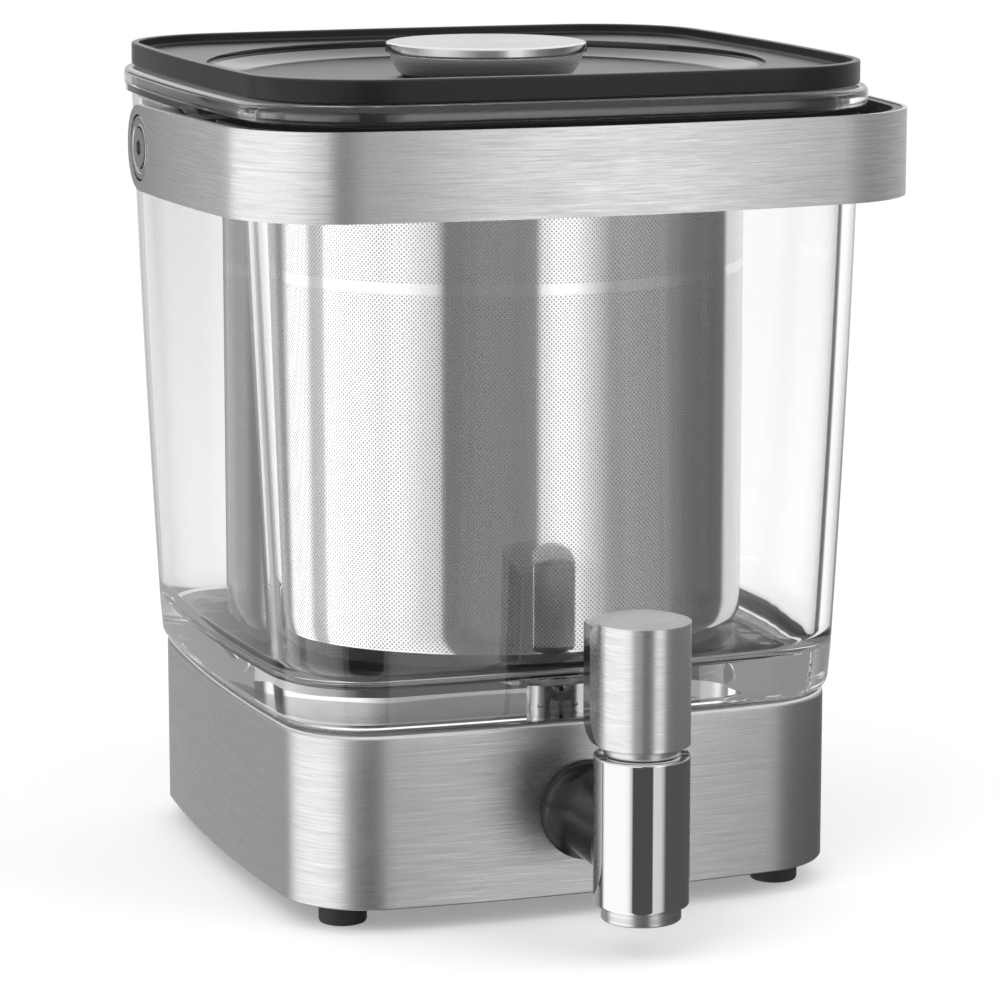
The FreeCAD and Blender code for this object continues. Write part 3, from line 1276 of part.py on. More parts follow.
os.makedirs("parts", exist_ok=True)
for subpart in subparts:
    subpart.Shape.exportStep("parts/%s.step" % subpart.Label)
    print("%-22s %2d solid(s) %10.1f mm3" % (subpart.Label, len(subpart.Shape.Solids), subpart.Shape.Volume))
print("%d sub-parts" % len(subparts))
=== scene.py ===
import math

import bmesh
import bpy
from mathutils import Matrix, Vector


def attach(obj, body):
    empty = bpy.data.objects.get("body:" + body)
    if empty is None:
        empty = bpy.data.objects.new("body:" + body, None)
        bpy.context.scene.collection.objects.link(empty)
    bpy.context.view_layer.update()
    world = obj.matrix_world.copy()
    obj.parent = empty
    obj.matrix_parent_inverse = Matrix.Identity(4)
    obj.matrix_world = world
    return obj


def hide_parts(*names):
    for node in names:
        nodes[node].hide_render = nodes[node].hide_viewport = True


# Cold brew coffee maker: square glass jar on a brushed steel base, tap in front, perforated steeper
# inside, black lid with a steel knob, and a steel carry handle round the neck.
# Shapes are worked out in millimetres in the frame of the solid model and stored in metres.

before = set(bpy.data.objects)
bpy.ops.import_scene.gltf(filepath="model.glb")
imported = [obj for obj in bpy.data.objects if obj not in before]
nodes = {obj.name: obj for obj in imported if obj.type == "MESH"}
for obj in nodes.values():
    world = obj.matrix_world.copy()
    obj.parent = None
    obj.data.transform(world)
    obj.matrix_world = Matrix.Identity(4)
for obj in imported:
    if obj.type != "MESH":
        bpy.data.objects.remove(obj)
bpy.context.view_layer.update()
bpy.ops.object.select_all(action="DESELECT")

MM = 0.001
TAU = 2 * math.pi
JAR_Y = 18.2             # the jar's middle, front to back
TAP_Y = -85.3            # the middle of the tap's barrel
SKIRT_HALF = 69.9        # half the width of the base
SHOULDER = 47.3          # height on which the jar stands
NECK = 186.8             # height at which the jar's flange begins
LID = (76.1, 771, 28.8)  # the lid's half width, the bow of its sides, its corners
PIVOT = 176.2            # height of the handle's pivots
BAND_HALF = 10.1         # half the height of the handle's band
BAND = (86.5, 85.9, 465, 416, 28.0)  # the band from above: half width, half depth, bow of sides and front, corner
BARREL = 10.9            # radius of the tap's barrel and lever
TAP_HOLE = 26.0          # height of the hole in the base that takes the tap's neck
SLEEVE = (60.7, 61.5)    # inner and outer radius of the steeper's sleeve
DISH = 190.8             # floor of the lid's dish
COVE = (55.0, 60.0, 67.2)  # radii between which the cove round that dish turns glossy, and where it ends

# -------- node helpers


def node(tree, kind, **settings):
    """A new node with its settings. A setting that names an input socket sets that socket."""
    made = tree.nodes.new(kind)
    for key, setting in settings.items():
        if hasattr(made, key):
            setattr(made, key, setting)
        else:
            made.inputs[key.replace("_", " ")].default_value = setting
    return made


def wire(tree, source, target):
    """Link an output socket to an input socket."""
    tree.links.new(source, target)


def number(tree, operation, *terms):
    """A math node, its terms being sockets or numbers."""
    made = node(tree, "ShaderNodeMath", operation=operation)
    for slot, term in enumerate(terms):
        if isinstance(term, bpy.types.NodeSocket):
            wire(tree, term, made.inputs[slot])
        else:
            made.inputs[slot].default_value = term
    return made.outputs[0]


def stretch(tree, value, low, high, to_low=0.0, to_high=1.0, smooth=False):
    """Map a value from one span to another."""
    made = node(tree, "ShaderNodeMapRange", interpolation_type="SMOOTHSTEP" if smooth else "LINEAR")
    wire(tree, value, made.inputs["Value"])
    for key, bound in (("From Min", low), ("From Max", high), ("To Min", to_low), ("To Max", to_high)):
        if isinstance(bound, bpy.types.NodeSocket):
            wire(tree, bound, made.inputs[key])
        else:
            made.inputs[key].default_value = bound
    return made.outputs["Result"]


def blend_colours(tree, factor, first, second):
    """Mix two colours, each a socket or a colour."""
    made = node(tree, "ShaderNodeMix", data_type="RGBA")
    wire(tree, factor, made.inputs[0])
    for slot, colour in ((6, first), (7, second)):
        if isinstance(colour, bpy.types.NodeSocket):
            wire(tree, colour, made.inputs[slot])
        else:
            made.inputs[slot].default_value = (*colour, 1)
    return made.outputs[2]


def noise(tree, scales, detail=2.0, shift=(0, 0, 0)):
    """Noise on Object coordinates, with a scale per metre for each direction."""
    where = node(tree, "ShaderNodeTexCoord")
    turned = node(tree, "ShaderNodeMapping")
    wire(tree, where.outputs["Object"], turned.inputs["Vector"])
    turned.inputs["Scale"].default_value = scales
    turned.inputs["Location"].default_value = shift
    made = node(tree, "ShaderNodeTexNoise", Scale=1.0, Detail=detail, Roughness=0.5)
    wire(tree, turned.outputs["Vector"], made.inputs["Vector"])
    return made.outputs["Fac"]


def object_axes(tree):
    """The Object coordinates as three values."""
    where = node(tree, "ShaderNodeTexCoord")
    parts = node(tree, "ShaderNodeSeparateXYZ")
    wire(tree, where.outputs["Object"], parts.inputs[0])
    return parts.outputs


def hypotenuse(tree, first, second):
    """Length of the two values taken at right angles."""
    return number(tree, "SQRT", number(tree, "ADD", number(tree, "MULTIPLY", first, first),
                                       number(tree, "MULTIPLY", second, second)))


def new_group(name, inputs, outputs):
    """An empty node group with named value sockets."""
    group = bpy.data.node_groups.new(name, "ShaderNodeTree")
    for label, start in inputs:
        socket = group.interface.new_socket(label, in_out="INPUT", socket_type="NodeSocketFloat")
        socket.default_value = start
    for label in outputs:
        group.interface.new_socket(label, in_out="OUTPUT", socket_type="NodeSocketFloat")
    start = node(group, "NodeGroupInput")
    end = node(group, "NodeGroupOutput")
    return group, start, end


# -------- effects shared by the finishes


def make_brushing():
    """Fine scratches left by a brush: thin lines with long ones among them, and their height."""
    group, start, end = new_group(
        "brushing",
        [("Along X", 90.0), ("Along Y", 90.0), ("Along Z", 3400.0)],
        ["Lines", "Height", "Clouds"],
    )
    where = node(group, "ShaderNodeTexCoord")
    scales = node(group, "ShaderNodeCombineXYZ")
    for slot in range(3):
        wire(group, start.outputs[slot], scales.inputs[slot])
    grown = node(group, "ShaderNodeVectorMath", operation="MULTIPLY")
    wire(group, where.outputs["Object"], grown.inputs[0])
    wire(group, scales.outputs[0], grown.inputs[1])
    fine = node(group, "ShaderNodeTexNoise", Scale=1.0, Detail=3.0, Roughness=0.7)
    wire(group, grown.outputs[0], fine.inputs["Vector"])
    broad = node(group, "ShaderNodeTexNoise", Scale=0.4, Detail=1.0, Roughness=0.5)
    wire(group, grown.outputs[0], broad.inputs["Vector"])
    clouds = node(group, "ShaderNodeTexNoise", Scale=26.0, Detail=2.0, Roughness=0.5)
    wire(group, where.outputs["Object"], clouds.inputs["Vector"])
    lines = number(group, "ADD", number(group, "MULTIPLY", fine.outputs["Fac"], 0.78),
                   number(group, "MULTIPLY", broad.outputs["Fac"], 0.22))
    sharp = stretch(group, lines, 0.3, 0.7)
    wire(group, sharp, end.inputs["Lines"])
    wire(group, fine.outputs["Fac"], end.inputs["Height"])
    wire(group, clouds.outputs["Fac"], end.inputs["Clouds"])
    return group


def make_handling():
    """Faint cloudy marks left by handling and wiping."""
    group, start, end = new_group("handling", [("Size", 40.0), ("Amount", 1.0)], ["Marks"])
    where = node(group, "ShaderNodeTexCoord")
    smear = node(group, "ShaderNodeTexNoise", Detail=4.0, Roughness=0.62)
    wire(group, where.outputs["Object"], smear.inputs["Vector"])
    wire(group, start.outputs["Size"], smear.inputs["Scale"])
    marks = number(group, "MULTIPLY", stretch(group, smear.outputs["Fac"], 0.42, 0.72), start.outputs["Amount"])
    wire(group, marks, end.inputs["Marks"])
    return group


def make_speckle():
    """Fine moulded texture of plastic and rubber."""
    group, start, end = new_group("speckle", [("Size", 2200.0)], ["Grain", "Tone"])
    where = node(group, "ShaderNodeTexCoord")
    grain = node(group, "ShaderNodeTexNoise", Detail=2.0, Roughness=0.6)
    wire(group, where.outputs["Object"], grain.inputs["Vector"])
    wire(group, start.outputs["Size"], grain.inputs["Scale"])
    tone = node(group, "ShaderNodeTexNoise", Scale=55.0, Detail=3.0, Roughness=0.55)
    wire(group, where.outputs["Object"], tone.inputs["Vector"])
    wire(group, grain.outputs["Fac"], end.inputs["Grain"])
    wire(group, tone.outputs["Fac"], end.inputs["Tone"])
    return group


BRUSHING = make_brushing()
HANDLING = make_handling()
SPECKLE = make_speckle()


def shared(tree, group, **values):
    """Place a shared effect in a material with its own values."""
    made = node(tree, "ShaderNodeGroup", node_tree=group)
    for key, number_here in values.items():
        made.inputs[key.replace("_", " ")].default_value = number_here
    return made


def new_material(name):
    """A material with its tree and its shader."""
    made = bpy.data.materials.new(name)
    made.use_nodes = True
    tree = made.node_tree
    return made, tree, tree.nodes["Principled BSDF"]


def worn_gloss(tree, shader, rough, size, amount, weight):
    """Roughness with the marks of handling on top."""
    marks = shared(tree, HANDLING, Size=size, Amount=amount)
    wire(tree, number(tree, "ADD", rough, number(tree, "MULTIPLY", marks.outputs["Marks"], weight)),
         shader.inputs["Roughness"])


def bump(tree, shader, height, strength, distance):
    """Lay a height on the surface."""
    made = node(tree, "ShaderNodeBump", Strength=strength, Distance=distance)
    wire(tree, height, made.inputs["Height"])
    wire(tree, made.outputs["Normal"], shader.inputs["Normal"])


# -------- finishes


def warm(tone):
    """Steel's grey, a touch warm."""
    return tone, tone, tone - 0.005


def brushed_steel(name, dark, bright, rough, across=(90, 90, 3400), grain=0.12, sheen=0.55, turn=0.0):
    """Brushed stainless steel. The brush runs where the scale across is low."""
    made, tree, shader = new_material(name)
    lines = shared(tree, BRUSHING, Along_X=across[0], Along_Y=across[1], Along_Z=across[2])
    wire(tree, blend_colours(tree, lines.outputs["Lines"], warm(dark), warm(bright)), shader.inputs["Base Color"])
    calm = stretch(tree, lines.outputs["Lines"], 0.0, 1.0, rough * 1.18, rough * 0.86)
    worn_gloss(tree, shader, calm, 34.0, 0.5, 0.05)
    shader.inputs["Metallic"].default_value = 1.0
    shader.inputs["Anisotropic"].default_value = sheen
    shader.inputs["Anisotropic Rotation"].default_value = turn
    tangent = node(tree, "ShaderNodeTangent", direction_type="RADIAL", axis="Z")
    wire(tree, tangent.outputs[0], shader.inputs["Tangent"])
    bump(tree, shader, lines.outputs["Height"], grain, 0.00006)
    return made


def turned_steel(name, dark, bright, rough, centre_y, rings=900.0, metal=1.0):
    """Steel faced on a lathe: very fine rings about a vertical axis."""
    made, tree, shader = new_material(name)
    x, y, z = object_axes(tree)
    radius = hypotenuse(tree, x, number(tree, "SUBTRACT", y, centre_y * MM))
    place = node(tree, "ShaderNodeCombineXYZ")
    wire(tree, number(tree, "MULTIPLY", radius, rings * 4), place.inputs[0])
    wire(tree, number(tree, "MULTIPLY", z, rings * 2), place.inputs[1])
    lines = node(tree, "ShaderNodeTexNoise", Scale=1.0, Detail=2.0, Roughness=0.6)
    wire(tree, place.outputs[0], lines.inputs["Vector"])
    sharp = stretch(tree, lines.outputs["Fac"], 0.3, 0.7)
    wire(tree, blend_colours(tree, sharp, warm(dark), warm(bright)), shader.inputs["Base Color"])
    worn_gloss(tree, shader, stretch(tree, sharp, 0.0, 1.0, rough * 1.15, rough * 0.88), 60.0, 0.5, 0.05)
    shader.inputs["Metallic"].default_value = metal
    shader.inputs["Anisotropic"].default_value = 0.5
    tangent = node(tree, "ShaderNodeTangent", direction_type="RADIAL", axis="Z")
    wire(tree, tangent.outputs[0], shader.inputs["Tangent"])
    bump(tree, shader, lines.outputs["Fac"], 0.08, 0.00004)
    return made


def polished_metal(name, tone, rough, marks_amount=0.05):
    """Polished or plated metal with the faint marks that hands leave."""
    made, tree, shader = new_material(name)
    cloud = noise(tree, (18, 18, 18), 3.0)
    wire(tree, blend_colours(tree, cloud, [c * 0.97 for c in tone], [min(1.0, c * 1.02) for c in tone]),
         shader.inputs["Base Color"])
    worn_gloss(tree, shader, rough, 48.0, 1.0, marks_amount)
    shader.inputs["Metallic"].default_value = 1.0
    bump(tree, shader, cloud, 0.02, 0.0001)
    return made


def moulded_plastic(name, tone, rough, grain=0.1, size=2200.0, gloss=0.5, coat=0.0):
    """Moulded plastic or rubber: a fine texture, a little variation in tone."""
    made, tree, shader = new_material(name)
    speckle = shared(tree, SPECKLE, Size=size)
    light = [min(1.0, c * 1.25 + 0.004) for c in tone]
    wire(tree, blend_colours(tree, speckle.outputs["Tone"], tone, light), shader.inputs["Base Color"])
    calm = stretch(tree, speckle.outputs["Tone"], 0.3, 0.7, rough * 0.92, rough * 1.08)
    worn_gloss(tree, shader, calm, 45.0, 1.0, 0.06)
    shader.inputs["Specular IOR Level"].default_value = gloss
    if coat:
        shader.inputs["Coat Weight"].default_value = coat
        shader.inputs["Coat Roughness"].default_value = 0.05
    bump(tree, shader, speckle.outputs["Grain"], grain, 0.00008)
    return made


def lid_plastic(name, gloss=0.4):
    """Black plastic of the lid: satin, with a polished cove round the dish."""
    made, tree, shader = new_material(name)
    speckle = shared(tree, SPECKLE, Size=2400.0)
    x, y, _ = object_axes(tree)
    radius = hypotenuse(tree, x, number(tree, "SUBTRACT", y, JAR_Y * MM))
    cove = number(tree, "MULTIPLY", stretch(tree, radius, COVE[0] * MM, COVE[1] * MM, smooth=True),
                  number(tree, "LESS_THAN", radius, COVE[2] * MM))
    satin = number(tree, "SUBTRACT", 1.0, cove)
    wire(tree, blend_colours(tree, speckle.outputs["Tone"], (0.006, 0.006, 0.0065), (0.01, 0.01, 0.0105)),
         shader.inputs["Base Color"])
    calm = number(tree, "ADD", stretch(tree, speckle.outputs["Tone"], 0.3, 0.7, 0.05, 0.08),
                  number(tree, "MULTIPLY", satin, 0.24))
    worn_gloss(tree, shader, calm, 45.0, 1.0, 0.04)
    shader.inputs["Specular IOR Level"].default_value = gloss
    bump(tree, shader, number(tree, "MULTIPLY", speckle.outputs["Grain"], satin), 0.04, 0.00008)
    return made


def clear_glass(name):
    """Thick pressed glass: clear, with the faint waves of its mould."""
    made, tree, shader = new_material(name)
    waves = noise(tree, (22, 22, 7), 1.0)
    tint = noise(tree, (9, 9, 9), 1.0, shift=(0.3, 0.1, 0.7))
    wire(tree, blend_colours(tree, tint, (0.992, 0.996, 0.995), (0.998, 0.999, 0.998)), shader.inputs["Base Color"])
    wire(tree, stretch(tree, waves, 0.3, 0.7, 0.0, 0.004), shader.inputs["Roughness"])
    shader.inputs["Transmission Weight"].default_value = 1.0
    shader.inputs["IOR"].default_value = 1.5
    # Light still inside the glass after three mirror reflections would be lost: a little is given back as a painted
    # glow, the glass glowing though it is no lamp.
    path = node(tree, "ShaderNodeLightPath")
    trapped = number(tree, "GREATER_THAN", path.outputs["Glossy Depth"], 2.5)
    wire(tree, number(tree, "MULTIPLY", trapped, 0.09), shader.inputs["Emission Strength"])
    under = number(tree, "LESS_THAN", object_axes(tree)[2], (SHOULDER + 0.45) * MM)
    stipple = number(tree, "MULTIPLY", noise(tree, (75, 75, 20), 1.0), under)
    height = number(tree, "ADD", number(tree, "MULTIPLY", waves, 0.05), stipple)
    bump(tree, shader, height, 1.0, 0.0005)
    return made


def frosted_silicone(name):
    """Soft translucent silicone."""
    made, tree, shader = new_material(name)
    speckle = shared(tree, SPECKLE, Size=1400.0)
    wire(tree, blend_colours(tree, speckle.outputs["Tone"], (0.5, 0.52, 0.52), (0.64, 0.65, 0.65)),
         shader.inputs["Base Color"])
    wire(tree, stretch(tree, speckle.outputs["Tone"], 0.3, 0.7, 0.34, 0.44), shader.inputs["Roughness"])
    shader.inputs["Subsurface Weight"].default_value = 0.2
    shader.inputs["Subsurface Scale"].default_value = 0.002
    bump(tree, shader, speckle.outputs["Grain"], 0.05, 0.00005)
    return made


def perforated_steel(name, floor_z, radius, pitch=1.08, hole=0.21, line_z=147.0, line_half=1.25,
                     edge_low=5.2, edge_high=178.0, metal=1.0, dull=0.0):
    """Polished sheet etched with staggered rows of fine holes, with plain edges and a plain fill line."""
    made, tree, shader = new_material(name)
    x, y, z = object_axes(tree)
    angle = number(tree, "ARCTAN2", number(tree, "SUBTRACT", y, JAR_Y * MM), x)
    columns = round(TAU * radius / pitch)
    u = number(tree, "MULTIPLY", angle, columns / TAU)
    v = number(tree, "DIVIDE", z, pitch * MM)

    def dots(shift):
        du = number(tree, "SUBTRACT", number(tree, "FRACT", number(tree, "ADD", u, 40 + shift)), 0.5)
        dv = number(tree, "SUBTRACT", number(tree, "FRACT", number(tree, "ADD", v, shift)), 0.5)
        return stretch(tree, hypotenuse(tree, du, dv), hole * 0.75, hole * 1.15, 1.0, 0.0)

    holes = number(tree, "MAXIMUM", dots(0.0), dots(0.5))
    height = number(tree, "DIVIDE", z, MM)
    off_line = number(tree, "GREATER_THAN", number(tree, "ABSOLUTE", number(tree, "SUBTRACT", height, line_z)),
                      line_half)
    above = number(tree, "GREATER_THAN", height, floor_z + edge_low)
    below = number(tree, "LESS_THAN", height, edge_high)
    etched = number(tree, "MULTIPLY", number(tree, "MULTIPLY", above, below), off_line)
    mask = number(tree, "MULTIPLY", holes, etched)
    cloud = noise(tree, (14, 14, 14), 3.0)
    plain = blend_colours(tree, cloud, warm(0.66), warm(0.72))
    wire(tree, blend_colours(tree, mask, plain, (0.24, 0.24, 0.24)), shader.inputs["Base Color"])
    calm = stretch(tree, cloud, 0.3, 0.7, 0.045 + dull, 0.07 + dull)
    wire(tree, number(tree, "ADD", calm, number(tree, "MULTIPLY", mask, 0.2)), shader.inputs["Roughness"])
    shader.inputs["Metallic"].default_value = metal
    bump(tree, shader, number(tree, "SUBTRACT", 1.0, mask), 0.02, 0.00005)
    return made


FINISH = {
    "base": brushed_steel("base_steel", 0.43, 0.58, 0.28),
    "handle": brushed_steel("handle_steel", 0.44, 0.6, 0.26),
    "lever": brushed_steel("lever_steel", 0.45, 0.61, 0.27, (140, 140, 3000), sheen=0.6, turn=0.25),
    "knob": turned_steel("knob_steel", 0.44, 0.59, 0.22, JAR_Y),
    "knob_edge": polished_metal("knob_edge_steel", warm(0.6), 0.1),
    # The knob's bowl is a lighter copy of the knob's steel: painted light, as the bowl mirrors the dark lid.
    "bowl": turned_steel("knob_bowl_lit_steel", 0.78, 0.92, 0.26, JAR_Y),
    "ring": turned_steel("outlet_steel", 0.42, 0.58, 0.25, TAP_Y),
    "sleeve": perforated_steel("etched_steel", 57.0, SLEEVE[1]),
    "sleeve_inside": perforated_steel("etched_steel_inside", 57.0, SLEEVE[0], metal=0.45, dull=0.35),
    "steeper": polished_metal("steeper_steel", warm(0.62), 0.2),
    # The steeper's floor is a darker copy of the steeper's steel: painted shade for the dark band under the sleeve.
    "heel": polished_metal("heel_shaded_steel", (0.28, 0.28, 0.28), 0.2),
    # The tap's neck is near-black metal: painted shade for the shadow it stands in under the barrel.
    "neck": polished_metal("tap_neck_shaded_metal", (0.045, 0.046, 0.047), 0.14, 0.03),
    "chrome": polished_metal("tap_chrome", (0.55, 0.553, 0.556), 0.02, 0.02),
    # Very light steel for the back of the lever's core: painted light, so that its reflection in the sleeve reads
    # light.
    "lever_back_lit": polished_metal("lever_back_lit_steel", warm(0.93), 0.34),
    # The dome's turned satin finish is real; its lighter, less metallic tone is painted light from above.
    "lever_cap_lit": turned_steel("lever_cap_lit_steel", 0.66, 0.78, 0.3, TAP_Y, metal=0.6),
    "pivot": polished_metal("pivot_steel", (0.4, 0.4, 0.4), 0.3),
    "hardware": polished_metal("hardware_steel", (0.55, 0.55, 0.55), 0.28),
    "glass": clear_glass("jar_glass"),
    "lid": lid_plastic("lid_plastic"),
    "lid_side": lid_plastic("lid_side_plastic", 0.22),
    "liner": moulded_plastic("liner_plastic", (0.05, 0.05, 0.052), 0.42, 0.12),
    "bracket": moulded_plastic("bracket_plastic", (0.06, 0.06, 0.062), 0.4, 0.12),
    "tray": moulded_plastic("tray_plastic", (0.03, 0.03, 0.032), 0.5, 0.15),
    "insert": moulded_plastic("insert_plastic", (0.008, 0.008, 0.009), 0.08, 0.01, gloss=0.6, coat=0.6),
    "rubber": moulded_plastic("foot_rubber", (0.014, 0.014, 0.014), 0.6, 0.2, 1500.0, 0.35),
    "silicone": frosted_silicone("seal_silicone"),
}

# -------- outlines, in millimetres


def arc(centre, radius, start, end, count, first=True):
    """Points along an arc, angles from the front (-Y) towards +X."""
    steps = range(0 if first else 1, count + 1)
    turns = [start + (end - start) * step / count for step in steps]
    return [(centre[0] + radius * math.sin(a), centre[1] - radius * math.cos(a)) for a in turns]


def bowed_square(half_x, half_y, side_radius, front_radius, corner, side_steps=20, corner_steps=12):
    """Square with bowed sides and round corners about the middle, from the front's middle to the right."""
    front = (0.0, -half_y + front_radius)
    side = (half_x - side_radius, 0.0)
    a, b = front_radius - corner, side_radius - corner
    apart = math.hypot(side[0] - front[0], side[1] - front[1])
    along = (a * a - b * b + apart * apart) / (2 * apart)
    off = math.sqrt(max(a * a - along * along, 0.0))
    ux, uy = (side[0] - front[0]) / apart, (side[1] - front[1]) / apart
    choices = [(front[0] + ux * along - uy * off * s, front[1] + uy * along + ux * off * s) for s in (1, -1)]
    middle = max(choices, key=lambda p: p[0] - p[1])
    turn_front = math.atan2(middle[0] - front[0], front[1] - middle[1])
    turn_side = math.atan2(middle[0] - side[0], side[1] - middle[1])
    quarter = arc(front, front_radius, 0.0, turn_front, side_steps)
    quarter += arc(middle, corner, turn_front, turn_side, corner_steps, False)
    quarter += arc(side, side_radius, turn_side, math.pi / 2, side_steps, False)
    back = [(x, -y) for x, y in reversed(quarter)]
    right = quarter + back[1:]
    left = [(-x, y) for x, y in reversed(right)]
    return right + left[1:-1]


def at_level(outline, z):
    """The outline as a ring of points at one height round the jar's middle."""
    return [(x, y + JAR_Y, z) for x, y in outline]


def family(half, side_radius, corner, inset=0.0):
    """The outline that jar, base and lid share in their own sizes, drawn in by an inset."""
    return bowed_square(half - inset, half - inset, side_radius - inset, side_radius - inset,
                        max(corner - inset, 1.0))


def round_as(outline, radius):
    """A circle whose points lie in the directions of an outline's points."""
    sized = []
    for x, y in outline:
        far = math.hypot(x, y)
        sized.append((radius * x / far, radius * y / far))
    return sized


def circle(radius, count=96):
    """Points of a circle, from the front to the right."""
    return [(radius * math.sin(TAU * k / count), -radius * math.cos(TAU * k / count)) for k in range(count)]


# -------- making pieces


def build_rings(name, rings, ends="flat"):
    """A piece drawn up ring by ring: a first ring, then one extrusion for each further ring.

    ends: "flat" fills the first and last ring, "open" leaves them, and "closed" has its last ring
    on its first, where the two are merged.
    """
    bpy.ops.object.select_all(action="DESELECT")
    bpy.ops.mesh.primitive_circle_add(vertices=len(rings[0]), radius=1.0, fill_type="NOTHING")
    piece = bpy.context.object
    piece.name = piece.data.name = name
    mark = piece.data.attributes.new("place", "INT", "POINT")
    for index, item in enumerate(mark.data):
        item.value = index
    bpy.ops.object.mode_set(mode="EDIT")
    bpy.ops.mesh.select_all(action="SELECT")
    if ends == "flat":
        bpy.ops.mesh.edge_face_add()
    for step, ring in enumerate(rings):
        if step:
            bpy.ops.mesh.extrude_edges_move()
        mesh = bmesh.from_edit_mesh(piece.data)
        place = mesh.verts.layers.int["place"]
        for vertex in mesh.verts:
            if vertex.select:
                vertex.co = Vector(ring[vertex[place]]) * MM
        bmesh.update_edit_mesh(piece.data)
    if ends == "flat":
        bpy.ops.mesh.edge_face_add()
    bpy.ops.mesh.select_all(action="SELECT")
    bpy.ops.mesh.remove_doubles(threshold=0.000002)
    bpy.ops.mesh.normals_make_consistent(inside=False)
    bpy.ops.object.mode_set(mode="OBJECT")
    piece.data.attributes.remove(piece.data.attributes["place"])
    piece.location = (0, 0, 0)
    return piece


def select_only(piece):
    """Select one piece and make it the active one."""
    bpy.ops.object.select_all(action="DESELECT")
    piece.select_set(True)
    bpy.context.view_layer.objects.active = piece


def modify(piece, kind, **settings):
    """Apply a modifier with its settings."""
    select_only(piece)
    made = piece.modifiers.new(kind.lower(), kind)
    for key, setting in settings.items():
        setattr(made, key, setting)
    bpy.ops.object.modifier_apply(modifier=made.name)


def finish_piece(piece, finish, body, replaced=(), smooth=35.0, round_edges=0.0, segments=3):
    """Round the sharp edges, shade, and give the piece its finish and the body it rides on."""
    if round_edges:
        modify(piece, "BEVEL", width=round_edges * MM, segments=segments, limit_method="ANGLE",
               angle_limit=math.radians(32), use_clamp_overlap=True)
    select_only(piece)
    bpy.ops.object.shade_smooth_by_angle(angle=math.radians(smooth))
    modify(piece, "WEIGHTED_NORMAL", keep_sharp=True, weight=80)
    if finish:
        piece.data.materials.clear()
        piece.data.materials.append(FINISH[finish])
    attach(piece, body)
    if replaced:
        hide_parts(*replaced)
    return piece


def second_finish(piece, finish, chosen):
    """Give the faces for which chosen(face) holds a second finish."""
    piece.data.materials.append(FINISH[finish])
    for face in piece.data.polygons:
        if chosen(face):
            face.material_index = 1


def join_pieces(piece, other):
    """Make the other piece part of the first."""
    select_only(piece)
    other.select_set(True)
    bpy.ops.object.join()


def cut_away(piece, cutter, operation="DIFFERENCE"):
    """Cut one piece with another, which is used up."""
    modify(piece, "BOOLEAN", operation=operation, object=cutter, solver="EXACT")
    bpy.data.objects.remove(cutter, do_unlink=True)


def turned(profile, centre=(0.0, JAR_Y), count=96):
    """Rings of a piece turned about a vertical axis, from a profile of radius and height."""
    return [[(x + centre[0], y + centre[1], z) for x, y in circle(max(radius, 0.001), count)]
            for radius, z in profile]


def turned_across(profile, y, z, count=64):
    """Rings of a piece turned about a left-right axis, from a profile of radius and x."""
    return [[(x, y + v, z + u) for u, v in circle(max(radius, 0.001), count)] for radius, x in profile]


# -------- base


def make_skirt():
    """Drawn steel skirt with a rolled shoulder that carries the jar."""
    def ring(inset, z):
        return at_level(family(SKIRT_HALF, 540, 21.6, inset), z)
    rings = [ring(1.0, 5.8), ring(0.25, 5.8), ring(0.0, 6.1)]
    rings += [ring(0.0, z) for z in (16, 26, 36, 45.9)]
    rings += [ring(i, z) for i, z in ((0.1, 46.45), (0.42, 46.95), (0.95, 47.22), (1.6, SHOULDER))]
    rings += [ring(8.0, SHOULDER), ring(8.0, 46.3), ring(1.8, 46.3), ring(1.0, 45.6), ring(1.0, 5.8)]
    skirt = build_rings("skirt", rings, "closed")
    hole = [[(u, y, TAP_HOLE + v) for u, v in circle(6.4, 48)] for y in (-60.0, -45.0)]
    cut_away(skirt, build_rings("tap_hole_cutter", hole))
    return finish_piece(skirt, "base", "root", ["base_skirt"])


def make_feet():
    """Four round rubber feet with a softened rim."""
    for name in ("front_left", "front_right", "back_left", "back_right"):
        x = (SKIRT_HALF - 15.4) * (-1 if "left" in name else 1)
        y = (SKIRT_HALF - 16.9) * (-1 if "front" in name else 1) + JAR_Y
        profile = [(4.9, 0.0), (5.45, 0.2), (5.65, 0.8), (5.65, 5.6), (5.4, 6.6), (4.2, 6.95), (2.5, 7.0),
                   (2.5, 10.5)]
        foot = build_rings("foot_pad_" + name, turned(profile, (x, y), 48), "flat")
        finish_piece(foot, "rubber", "root", ["foot_" + name], round_edges=0.1, segments=2)


# -------- glass jar


def jar_outline(z, inset=0.0):
    """The jar's outside at a height, drawn in by an inset."""
    t = (z - SHOULDER) / (NECK - SHOULDER)
    middle = (120.0 - SHOULDER) / (NECK - SHOULDER)

    def through(foot, mid, neck):
        bend = (mid - foot - (neck - foot) * middle) / (middle * middle - middle)
        return foot + (neck - foot - bend) * t + bend * t * t
    return family(through(71.05, 74.2, 76.2), through(560, 660, 771), through(23.0, 26.0, 28.8), inset)


